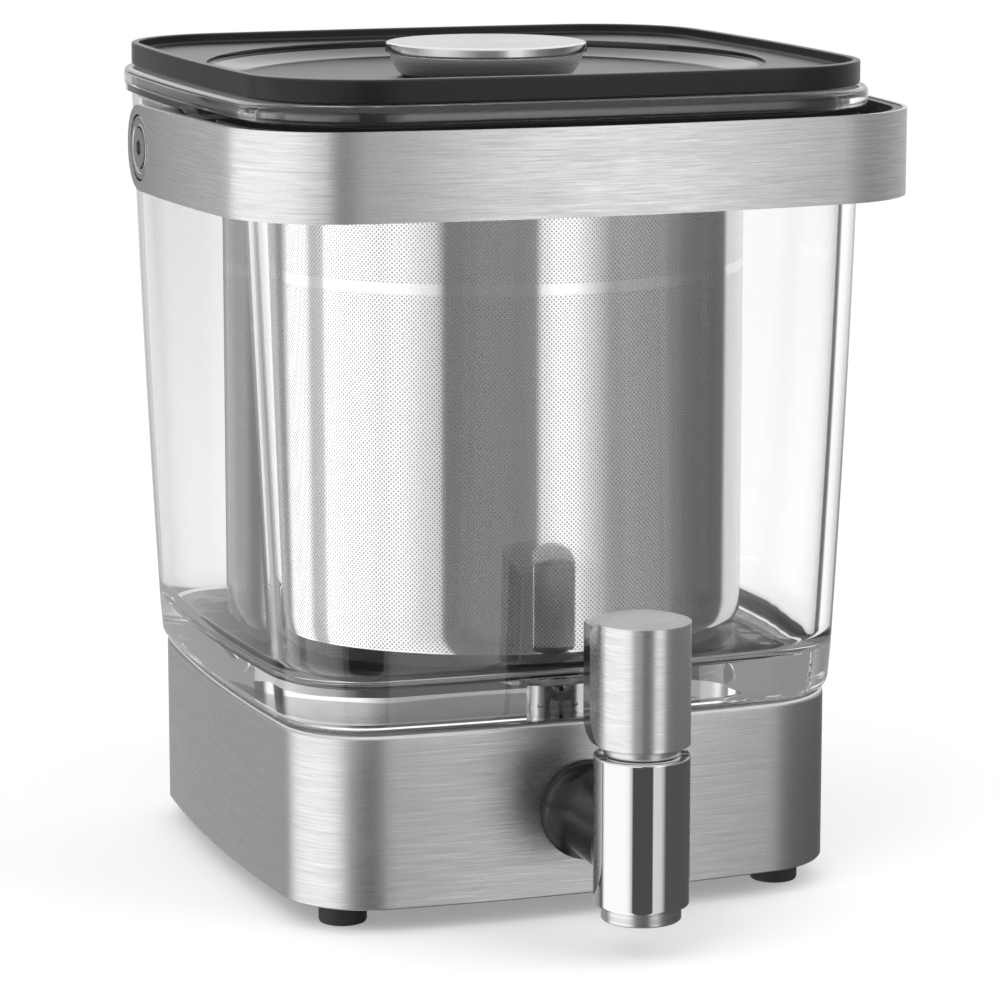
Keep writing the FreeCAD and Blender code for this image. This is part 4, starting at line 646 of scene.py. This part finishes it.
def make_jar():
    """Pressed glass jar: heavy foot, thick walls that widen upwards, and a flange round the mouth."""
    rings = [at_level(jar_outline(SHOULDER, 17.0), 47.8), at_level(jar_outline(SHOULDER, 14.0), 47.7),
             at_level(jar_outline(SHOULDER, 11.5), 47.34)]
    for k in range(6):
        a = math.pi / 2 * k / 5
        rings.append(at_level(jar_outline(SHOULDER, 2.6 * (1 - math.sin(a))), 47.34 + 3.16 * (1 - math.cos(a))))
    for k in range(1, 23):
        z = 50.5 + (186.2 - 50.5) * k / 22
        rings.append(at_level(jar_outline(z), z))
    flange = 1.8
    rings.append(at_level(jar_outline(NECK, -0.45), 186.75))
    for inset, z in ((0.5, NECK), (0.14, 187.05), (0.0, 187.6), (0.0, 189.5), (0.12, 190.25), (0.5, 190.85),
                     (1.1, 191.1)):
        rings.append(at_level(jar_outline(NECK, inset - flange), z))
    for inset, z in ((2.9, 191.1), (3.6, 190.9), (3.95, 190.3)):
        rings.append(at_level(jar_outline(NECK, inset), z))
    for k in range(22):
        z = 188.5 - (188.5 - 62.5) * k / 21
        rings.append(at_level(jar_outline(min(z, NECK), 4.0), z))
    for k in range(1, 8):
        a = math.pi / 2 * k / 7
        rings.append(at_level(jar_outline(62.5, 4.0 + 5.5 * (1 - math.cos(a))), 62.5 - 5.5 * math.sin(a)))
    jar = build_rings("jar", rings, "flat")
    drain_y = JAR_Y - 38.0
    cut_away(jar, build_rings("well_cutter", turned([(14.0, 53.8), (14.0, 60.0)], (0, drain_y), 64)))
    cut_away(jar, build_rings("drain_cutter", turned([(7.4, 40.0), (7.4, 60.0)], (0, drain_y), 64)))
    return finish_piece(jar, "glass", "root", ["glass_jar"], smooth=40)


# -------- carry handle


def handle_path(inset):
    """The handle's outline seen from above, open at the back, from the left arm's end to the right one's."""
    sizes = [size - inset for size in BAND]
    half, side = sizes[0], sizes[2]
    whole = bowed_square(*sizes, 26, 14)
    right = [p for p in whole[: len(whole) // 2 + 1] if p[1] < -0.4]
    for k in range(1, 25):
        y = BAND_HALF * math.sin(math.pi / 2 * k / 24)
        right.append((half - side + math.sqrt(side * side - y * y), y))
    left = [(-x, y) for x, y in reversed(right)]
    return left[:-1] + right


def make_band(name, inset, thick, edge, finish, replaced, bevel):
    """One layer of the handle: a strip of the height of the band whose ends are round, then its wall."""
    bpy.ops.object.select_all(action="DESELECT")
    path = handle_path(inset)
    columns, rows = len(path), 6
    bpy.ops.mesh.primitive_grid_add(x_subdivisions=columns - 1, y_subdivisions=rows, size=1.0)
    strip = bpy.context.object
    strip.name = strip.data.name = name
    tall, stub = BAND_HALF - edge, 0.3
    bpy.ops.object.mode_set(mode="EDIT")
    mesh = bmesh.from_edit_mesh(strip.data)
    for index, vertex in enumerate(sorted(mesh.verts, key=lambda v: (round(v.co.y, 5), round(v.co.x, 5)))):
        row, column = divmod(index, columns)
        x, y = path[column]
        past = max(y, 0.0) / BAND_HALF
        reach = stub + (tall - stub) * math.sqrt(max(1 - past * past, 0.0)) if y > 0 else tall
        vertex.co = Vector((x, y + JAR_Y, PIVOT + reach * (row / rows * 2 - 1))) * MM
    bmesh.update_edit_mesh(strip.data)
    bpy.ops.object.mode_set(mode="OBJECT")
    strip.location = (0, 0, 0)
    modify(strip, "SOLIDIFY", thickness=thick * MM, offset=-1.0, use_even_offset=True)
    hole = build_rings(name + "_cutter", turned_across([(7.85, -100.0), (7.85, 100.0)], JAR_Y, PIVOT, 72))
    cut_away(strip, hole)
    return finish_piece(strip, finish, "handle", replaced, round_edges=bevel, segments=3)


def make_pivots():
    """Turning discs of the handle, with a recess for the head of the pivot's screw."""
    for name, side in (("left", -1), ("right", 1)):
        disc = [(2.6, 82.9), (7.5, 82.9), (7.5, 86.15), (7.25, 86.35), (6.1, 86.35), (5.9, 86.1), (5.6, 86.1),
                (5.4, 86.3), (5.1, 86.3), (4.95, 86.1), (4.95, 84.85), (2.6, 84.85), (2.6, 82.9)]
        rings = turned_across([(r, x * side) for r, x in disc], JAR_Y, PIVOT)
        finish_piece(build_rings("pivot_disc_" + name, rings, "closed"), "pivot", "handle",
                     ["pivot_bush_" + name], round_edges=0.08, segments=2)


# -------- lid and knob


def make_lid():
    """Moulded lid: upright rim round the edge, flat deck, round dish, plug that fits the jar's mouth."""
    def edge(inset, z):
        return at_level(family(*LID, inset), z)

    def dish(radius, z):
        return at_level(round_as(family(*LID), radius), z)
    rings = [dish(1.95, DISH), dish(30.0, DISH), dish(55.5, DISH)]
    rings += [dish(55.5 + 10.9 * t, DISH + 2.4 * t * t) for t in (0.15, 0.3, 0.45, 0.6, 0.75, 0.9, 1.0)]
    rings += [dish(66.75, 193.25), dish(66.95, 193.4), dish(67.0, 194.25), dish(67.15, 194.42), dish(67.5, 194.5)]
    rings += [edge(3.2, 194.5), edge(2.4, 194.55), edge(1.95, 194.8), edge(1.8, 195.2), edge(1.8, 196.6),
              edge(1.7, 196.88), edge(1.45, 197.0), edge(0.5, 197.0), edge(0.14, 196.86), edge(0.0, 196.5)]
    rings += [edge(0.0, 192.0), edge(0.12, 191.68), edge(0.4, 191.5), edge(2.2, 191.4), edge(2.3, 191.1),
              edge(5.5, 191.1), edge(5.5, 182.4),
              edge(5.8, 182.1), edge(7.6, 182.1), edge(7.9, 182.4), edge(7.9, 192.1)]
    rings += [dish(67.0, 192.1), dish(66.6, 191.0), dish(60.3, 185.4), dish(58.8, 184.6), dish(1.95, 184.6),
              dish(1.95, DISH)]
    lid = finish_piece(build_rings("lid", rings, "closed"), "lid", "lid", ["lid_cover"], smooth=40)

    def on_side(face):
        reach = max(abs(face.center.x), abs(face.center.y - JAR_Y * MM))
        return abs(face.normal.z) < 0.3 and 191.6 * MM < face.center.z < 196.6 * MM and reach > 60.0 * MM
    second_finish(lid, "lid_side", on_side)
    return lid


def make_knob():
    """Knob: a bowl that looks darker under a bright disc with a fine edge. The bowl's steel is painted lighter:
    painted light where it mirrors the dark lid.
    """
    bowl = [(2.0, DISH), (19.7, DISH), (20.3, 191.0), (21.0, 191.6), (21.65, 192.4), (22.2, 193.3),
            (22.65, 194.2), (22.95, 195.0), (23.12, 195.7), (23.2, 196.3), (23.0, 196.5), (2.0, 196.5), (2.0, DISH)]
    finish_piece(build_rings("knob_bowl", turned(bowl, count=128), "closed"), "bowl", "lid", ["knob_base"],
                 round_edges=0.15)
    disc = [(0.5, 196.5), (23.8, 196.5), (24.15, 196.6), (24.25, 196.85), (24.16, 198.45), (24.06, 198.76),
            (23.75, 198.92), (23.3, 199.0), (0.5, 199.0)]
    cap = finish_piece(build_rings("knob_disc", turned(disc, count=128), "flat"), "knob", "lid", ["knob_cap"],
                       smooth=25)
    second_finish(cap, "knob_edge", lambda face: abs(face.normal.z) < 0.9)


# -------- steeper


def make_steeper():
    """Etched sleeve of the steeper with its rolled rim."""
    inner, outer = SLEEVE
    sleeve = [(inner, 62.0), (outer, 62.0), (outer, 100.0), (outer, 140.0), (outer, 178.0), (inner, 178.0),
              (inner, 62.0)]
    screen = finish_piece(build_rings("sleeve", turned(sleeve, count=192), "closed"), "sleeve", "steeper",
                          ["steeper_sleeve"])
    second_finish(screen, "sleeve_inside",
                  lambda face: math.hypot(face.center.x, face.center.y - JAR_Y * MM) < (inner + 0.2) * MM)
    rim = [(inner, 178.0), (outer, 178.0), (62.3, 178.5), (62.8, 179.2), (62.8, 180.4), (62.4, 180.9),
           (61.8, 181.0), (61.0, 181.0), (inner, 180.8), (inner, 178.0)]
    return finish_piece(build_rings("rolled_rim", turned(rim, count=192), "closed"), "steeper", "steeper",
                        ["steeper_rim"])


# -------- tap


def make_tap():
    """Chrome barrel with a valve chamber, and its neck, which flows into the barrel and flares at the base."""
    barrel = [(9.2, 12.6), (10.4, 12.6), (10.75, 12.72), (BARREL, 13.0), (BARREL, 13.3), (BARREL, 30.0),
              (BARREL, 46.5), (BARREL, 46.8), (10.8, 47.08), (10.5, 47.2), (7.5, 47.2), (7.5, 20.0),
              (4.5, 20.0), (4.5, 17.6), (7.4, 17.6), (7.4, 12.6), (9.2, 12.6)]
    body = build_rings("barrel", turned(barrel, (0, TAP_Y), 160), "closed")
    neck, count = 8.8, 128
    foot_y = -52.5
    turns = [TAU * k / count for k in range(count)]

    def spread(a):
        """Half width of the neck's foot on the barrel, in a direction: wide below, narrow above."""
        tall = 12.7 if math.sin(a) < 0 else 10.4
        return ((abs(math.sin(a)) / tall) ** 4 + (abs(math.cos(a)) / 10.3) ** 4) ** -0.25

    def upright(radius, y, share=0.0):
        ring = []
        for a in turns:
            r = radius + share * max(0.0, -math.sin(a)) * (spread(a) - neck)
            ring.append((r * math.cos(a), y, TAP_HOLE + r * math.sin(a)))
        return ring
    rings = [upright(8.0, foot_y), upright(11.5, foot_y), upright(11.7, foot_y - 0.2), upright(11.7, foot_y - 0.5)]
    for step in range(1, 11):
        t = step / 10
        rings.append(upright(neck + (11.7 - neck) * (1 - t) ** 2.2, foot_y - 0.5 - 9.0 * t, 0.3 * t ** 3))
    for step in range(11):
        lean = math.pi / 2 * step / 10
        ring = []
        for a in turns:
            low = max(0.0, -math.sin(a))
            fillet = 2.2 + 3.6 * low
            start = neck + 0.3 * low * (spread(a) - neck)
            radius = start + (spread(a) - start) * (1 - math.cos(lean))
            x = radius * math.cos(a)
            on_barrel = math.sqrt(max(BARREL * BARREL - x * x, 0.0))
            y = TAP_Y + on_barrel + fillet * (1 - math.sin(lean)) - 0.01
            ring.append((x, y, TAP_HOLE + radius * math.sin(a)))
        rings.append(ring)
    throat = build_rings("tap_neck", rings, "open")
    body.data.materials.append(FINISH["chrome"])
    # The neck takes the near-black metal: painted shade.
    throat.data.materials.append(FINISH["neck"])
    join_pieces(body, throat)
    return finish_piece(body, None, "root", ["tap_body"])


def make_outlet_and_collar():
    """Steel ring round the outlet, and the collar between barrel and lever."""
    ring = [(5.6, 9.3), (5.8, 9.1), (8.85, 9.1), (9.1, 9.35), (9.1, 12.6), (7.35, 12.6), (7.35, 17.5), (5.6, 17.5),
            (5.6, 9.3)]
    finish_piece(build_rings("outlet_ring", turned(ring, (0, TAP_Y)), "closed"), "ring", "root", ["tap_nozzle"])
    collar = [(2.9, 39.3), (7.4, 39.3), (7.4, 47.25), (8.5, 47.25), (8.7, 47.45), (8.7, 49.2), (8.5, 49.4),
              (2.9, 49.4), (2.9, 39.3)]
    finish_piece(build_rings("tap_neck_collar", turned(collar, (0, TAP_Y)), "closed"), "ring", "root",
                 ["tap_collar"])


def lever_plan(radius, back):
    """Lever from above: round in front, straight sides, rounded rear corners."""
    corner = 1.2
    half = [(radius * math.sin(math.pi / 2 * k / 24), -radius * math.cos(math.pi / 2 * k / 24)) for k in range(25)]
    half += [(radius, (back - corner) * k / 4) for k in range(1, 5)]
    half += [(radius - corner + corner * math.cos(a), back - corner + corner * math.sin(a))
             for a in (math.pi / 2 * k / 8 for k in range(1, 9))]
    half += [(0.0, back)]
    return half + [(-x, y) for x, y in reversed(half[1:-1])]


def quarter_turn(y, z, radius, start):
    """Points of a quarter circle in the side view, y and z, from an angle in degrees."""
    angles = [math.radians(start + 9 * k) for k in range(11)]
    return [(y + radius * math.cos(a), z + radius * math.sin(a)) for a in angles]


def slab(name, side_view):
    """A block across the tap with the given side view, for cutting the lever."""
    return build_rings(name, [[(x, y + TAP_Y, z) for y, z in side_view] for x in (-20.0, 20.0)])


def make_lever():
    """Lever: brushed steel skin and domed cap in one, and the glossy core that shows behind the skin."""
    def upright(radius, back, levels):
        return [[(x, y + TAP_Y, z) for x, y in lever_plan(radius - inset, back - inset)] for inset, z in levels]
    rear_edge = quarter_turn(1.9, 73.9, 2.5, 0)[::-1] + quarter_turn(-3.1, 57.0, 7.5, -90)[::-1]
    shell = build_rings("lever_skin", upright(BARREL, 9.6, [(0.15, 49.5), (0.0, 49.65), (0.0, 60.0), (0.0, 70.0),
                                                            (0.0, 84.0)]))
    dome = [(20.0, 40.0), (20.0, 73.5)]
    dome += [(r, 79.4 - 1.8 * (r / BARREL) ** 2) for r in (20.0, 17.0, 14.0, 12.0, BARREL, 9.0, 7.0, 5.0, 3.0, 1.5)]
    cut_away(shell, build_rings("dome_cutter", turned(dome, (0, TAP_Y), 96)), "INTERSECT")
    cut_away(shell, build_rings("hollow_cutter", upright(9.9, 14.0, [(0.0, 40.0), (0.0, 76.4)])))
    cut_away(shell, slab("rear_cutter", [(20.0, 40.0), (20.0, 76.4)] + rear_edge + [(-3.1, 40.0)]))
    finish_piece(shell, "lever", "tap_lever", ["lever_shell"], round_edges=0.2, segments=3, smooth=30)
    # The dome's top faces take the lighter steel: partly a real satin finish, partly painted light from above.
    second_finish(shell, "lever_cap_lit", lambda face: face.normal.z > 0.8 and face.center.z > 77.0 * MM)

    core = build_rings("lever_insert", upright(10.8, 9.6, [(0.0, 49.7), (0.0, 57.0), (0.0, 66.0), (0.0, 76.35)]))
    inner_edge = quarter_turn(2.0, 73.8, 2.5, 0)[::-1] + quarter_turn(-3.0, 57.1, 7.5, -90)[::-1]
    heel = quarter_turn(2.1, 57.2, 7.5, -90)
    kept = [(20.0, 80.0), (2.0, 80.0)] + inner_edge + [(2.1, 49.6)] + heel + [(20.0, 57.2)]
    cut_away(core, slab("heel_keeper", kept), "INTERSECT")
    inside = build_rings("core_inside", upright(9.85, 4.3, [(0.0, 49.9), (0.0, 60.0), (0.0, 76.35)]))
    join_pieces(core, inside)
    finish_piece(core, "insert", "tap_lever", ["lever_core"], round_edges=0.3, segments=3, smooth=30)
    # The core's rear faces take the very light steel: painted light.
    second_finish(core, "lever_back_lit", lambda face: face.normal.y > 0.7 and face.center.y > (TAP_Y + 9.0) * MM)


make_skirt()
make_feet()
make_jar()
make_band("band", 0.0, 1.0, 0.0, "handle", ["handle_band"], 0.28)
make_band("band_liner", 1.0, 2.3, 0.3, "liner", ["handle_liner"], 0.3)
make_pivots()
make_lid()
make_knob()
make_steeper()
make_tap()
make_outlet_and_collar()
make_lever()

# -------- finishes of the pieces kept from the solid model

KEPT = {
    "tray": ["base_tray", "base_cover", "drain_nut", "drain_elbow"],
    "hardware": ["base_screws", "tap_shank", "tap_washer", "tap_nut", "valve_stem", "lever_pin", "knob_screw"],
    "rubber": ["jar_pad", "tap_gasket", "rest_block_left", "rest_block_right"],
    "silicone": ["drain_seal_upper", "drain_seal_lower", "seat_cup", "lid_gasket"],
    # Drain fitting and neck ring take the black insert plastic: the drain fitting's black is painted shade for the
    # dark zone in the jar's foot; the neck ring's black is partly a gasket line and partly painted shade under the
    # flange.
    "insert": ["drain_fitting", "neck_ring"],
    "bracket": ["pivot_bracket_left", "pivot_bracket_right"],
    "pivot": ["pivot_screw_left", "pivot_screw_right"],
    "steeper": ["stop_pin_left", "stop_pin_right"],
    # Painted shade: the steeper's floor takes the darker copy of its steel.
    "heel": ["steeper_floor"],
}
for finish, names in KEPT.items():
    for name in names:
        for slot in nodes[name].material_slots:
            slot.material = FINISH[finish]

# -------- studio: floor, surroundings, lights, camera


def compass(tree, turn, strips):
    """Brightness round the horizon, as pairs of bearing in degrees from the front (left positive) and light."""
    ramp = node(tree, "ShaderNodeValToRGB")
    wire(tree, number(tree, "ADD", number(tree, "DIVIDE", turn, TAU), 0.5), ramp.inputs[0])
    strips = sorted(strips)
    brightest = max(light for _, light in strips)
    stops = ramp.color_ramp.elements
    stops[0].position = 0.0
    stops[1].position = 1.0
    for bearing, _ in strips[1:-1]:
        stops.new((bearing + 180) / 360)
    for stop, (_, light) in zip(stops, strips):
        stop.color = (light / brightest, light / brightest, light / brightest, 1)
    return number(tree, "MULTIPLY", ramp.outputs[0], brightest)


# The studio as shining steel sees it: soft boxes left and front, flags between them.
LOW_STRIPS = [(-180, 0.55), (-150, 0.4), (-128, 0.13), (-38, 0.14), (-30, 0.8), (-24, 1.08), (-6, 1.12),
              (-5, 0.12), (42, 0.12), (45, 0.9), (53, 1.6), (62, 1.75), (120, 1.75), (130, 0.2), (136, 0.2),
              (146, 0.5), (180, 0.55)]
HIGH_STRIPS = [(-180, 0.8), (-120, 0.75), (-60, 0.55), (-42, 0.65), (-34, 1.35), (-24, 2.1), (-12, 2.1),
               (-7, 0.4), (20, 0.25), (23, 1.7), (131, 1.8), (134, 0.5), (146, 0.85), (156, 0.8), (160, 0.2),
               (170, 0.2), (174, 0.8), (180, 0.8)]
SKY_STRIPS = [(-180, 0.75), (-130, 0.75), (-105, 0.4), (-80, 0.15), (-58, 0.2), (-42, 0.35), (-26, 0.9),
              (-20, 1.25), (-8, 1.2), (0, 0.5), (8, 0.28), (26, 0.28), (38, 0.5), (52, 0.85), (66, 1.1),
              (78, 1.1), (92, 0.8), (108, 0.5), (140, 0.5), (148, 0.2), (168, 0.2), (174, 0.75), (180, 0.75)]
# The studio as the steeper sees it through the jar, as the jar's foot sees it, and as clear glass bends it.
JAR_STRIPS = [(-180, 0.35), (-158, 0.3), (-150, 1.0), (-117, 1.1), (-112, 0.08), (-93, 0.05), (-66, 0.2),
              (-36, 0.42), (-27, 1.0), (-20, 1.5), (-12, 1.6), (-4, 1.2), (-2, 0.22), (22, 0.13), (39, 0.1),
              (41, 1.0), (57, 1.5), (81, 2.0), (98, 2.2), (100, 0.75), (108, 0.55), (113, 1.8), (128, 1.8),
              (133, 0.8), (137, 0.1), (143, 0.1), (148, 0.28), (158, 0.36), (165, 0.6), (168, 0.8), (173, 0.5),
              (180, 0.45)]
FOOT_STRIPS = [(-180, 0.1), (-160, 0.08), (-150, 0.06), (-142, 0.35), (-120, 0.6), (0, 0.6), (90, 0.9),
               (140, 0.5), (180, 0.2)]
GLASS_STRIPS = [(-180, 1.2), (-164, 1.2), (-157, 1.08), (-142, 1.08), (-137, 0.85), (-128, 0.25), (-60, 0.3),
                (-30, 0.9), (0, 0.9), (40, 0.4), (60, 1.0), (110, 1.0), (118, 0.2), (150, 0.2), (160, 0.9),
                (170, 1.2), (180, 1.2)]


def make_surroundings():
    """White surroundings. What shines sees the strips of a studio instead."""
    world = bpy.data.worlds.new("studio")
    bpy.context.scene.world = world
    world.use_nodes = True
    tree = world.node_tree
    back = tree.nodes["Background"]
    where = node(tree, "ShaderNodeTexCoord")
    parts = node(tree, "ShaderNodeSeparateXYZ")
    wire(tree, where.outputs["Generated"], parts.inputs[0])
    turn = number(tree, "ARCTAN2", number(tree, "MULTIPLY", parts.outputs[0], -1.0),
                  number(tree, "MULTIPLY", parts.outputs[1], -1.0))
    height = parts.outputs[2]
    path = node(tree, "ShaderNodeLightPath")
    through = number(tree, "GREATER_THAN", path.outputs["Transmission Depth"], 0.5)
    shines = number(tree, "GREATER_THAN", path.outputs["Glossy Depth"], 0.5)

    def between(factor, first, second):
        return stretch(tree, factor, 0.0, 1.0, first, second)
    walls = between(stretch(tree, height, -0.21, -0.11, smooth=True), compass(tree, turn, LOW_STRIPS),
                    compass(tree, turn, HIGH_STRIPS))
    walls = between(stretch(tree, height, -0.03, 0.03, smooth=True), walls, compass(tree, turn, SKY_STRIPS))
    walls = between(stretch(tree, height, 0.1, 0.24, smooth=True), walls, 1.35)
    inside = between(stretch(tree, height, 0.02, 0.12, smooth=True), compass(tree, turn, JAR_STRIPS),
                     compass(tree, turn, FOOT_STRIPS))
    mirrored = between(through, walls, inside)
    plain = between(through, 1.0, compass(tree, turn, GLASS_STRIPS))
    seen = between(shines, plain, mirrored)
    lift = number(tree, "MULTIPLY", path.outputs["Is Diffuse Ray"], 0.06)
    wire(tree, number(tree, "MULTIPLY", seen, number(tree, "ADD", 1.0, lift)), back.inputs["Strength"])
    back.inputs["Color"].default_value = (1, 1, 1, 1)


def make_floor():
    """Pale floor that keeps the object's shadow. Reflections look through it to the surroundings."""
    bpy.ops.object.select_all(action="DESELECT")
    bpy.ops.mesh.primitive_plane_add(size=40.0)
    floor = bpy.context.object
    floor.name = "floor"
    made, tree, shader = new_material("floor_paper")
    shader.inputs["Roughness"].default_value = 0.9
    shader.inputs["Specular IOR Level"].default_value = 0.0
    paper = noise(tree, (3, 3, 3), 2.0)
    wire(tree, blend_colours(tree, paper, (0.93, 0.93, 0.93), (0.95, 0.95, 0.95)), shader.inputs["Base Color"])
    path = node(tree, "ShaderNodeLightPath")
    glow = node(tree, "ShaderNodeEmission")
    wire(tree, number(tree, "ADD", number(tree, "MULTIPLY", path.outputs["Is Transmission Ray"], 1.2), 1.0),
         glow.inputs["Strength"])
    seen = number(tree, "MAXIMUM", path.outputs["Is Camera Ray"],
                  number(tree, "MAXIMUM", path.outputs["Is Glossy Ray"], path.outputs["Is Transmission Ray"]))
    lifted = node(tree, "ShaderNodeMixShader")
    wire(tree, number(tree, "MULTIPLY", seen, 0.28), lifted.inputs[0])
    wire(tree, shader.outputs[0], lifted.inputs[1])
    wire(tree, glow.outputs[0], lifted.inputs[2])
    clear = node(tree, "ShaderNodeBsdfTransparent")
    ends = node(tree, "ShaderNodeMixShader")
    wire(tree, number(tree, "GREATER_THAN", path.outputs["Glossy Depth"], 0.5), ends.inputs[0])
    wire(tree, lifted.outputs[0], ends.inputs[1])
    wire(tree, clear.outputs[0], ends.inputs[2])
    wire(tree, ends.outputs[0], tree.nodes["Material Output"].inputs["Surface"])
    floor.data.materials.append(made)


def make_lamp(name, place, aim, size, watts):
    """A soft lamp turned towards a point."""
    lamp = bpy.data.lights.new(name, "AREA")
    lamp.shape = "RECTANGLE"
    lamp.size, lamp.size_y = size
    lamp.energy = watts
    holder = bpy.data.objects.new(name, lamp)
    bpy.context.collection.objects.link(holder)
    holder.location = place
    holder.rotation_euler = (Vector(aim) - Vector(place)).to_track_quat("-Z", "Y").to_euler()
    holder.visible_camera = False
    holder.visible_glossy = False
    holder.visible_transmission = False


def make_camera():
    """Camera in front, to the left and a little above."""
    lens = bpy.data.cameras.new("camera")
    lens.sensor_width = 36.0
    lens.lens = 151.04
    lens.clip_end = 100.0
    camera = bpy.data.objects.new("camera", lens)
    bpy.context.collection.objects.link(camera)
    camera.location = (-0.34018, -0.93374, 0.27421)
    camera.rotation_euler = (math.radians(90 - 10.501), 0, math.radians(-19.854))
    bpy.context.scene.camera = camera


make_surroundings()
make_floor()
make_lamp("key", (-0.9, -0.7, 1.1), (0, 0, 0.1), (0.9, 0.9), 6.0)
make_lamp("fill", (0.9, -0.8, 0.8), (0, 0, 0.1), (0.9, 0.9), 5.0)
make_camera()
bpy.context.scene.view_settings.view_transform = "Standard"
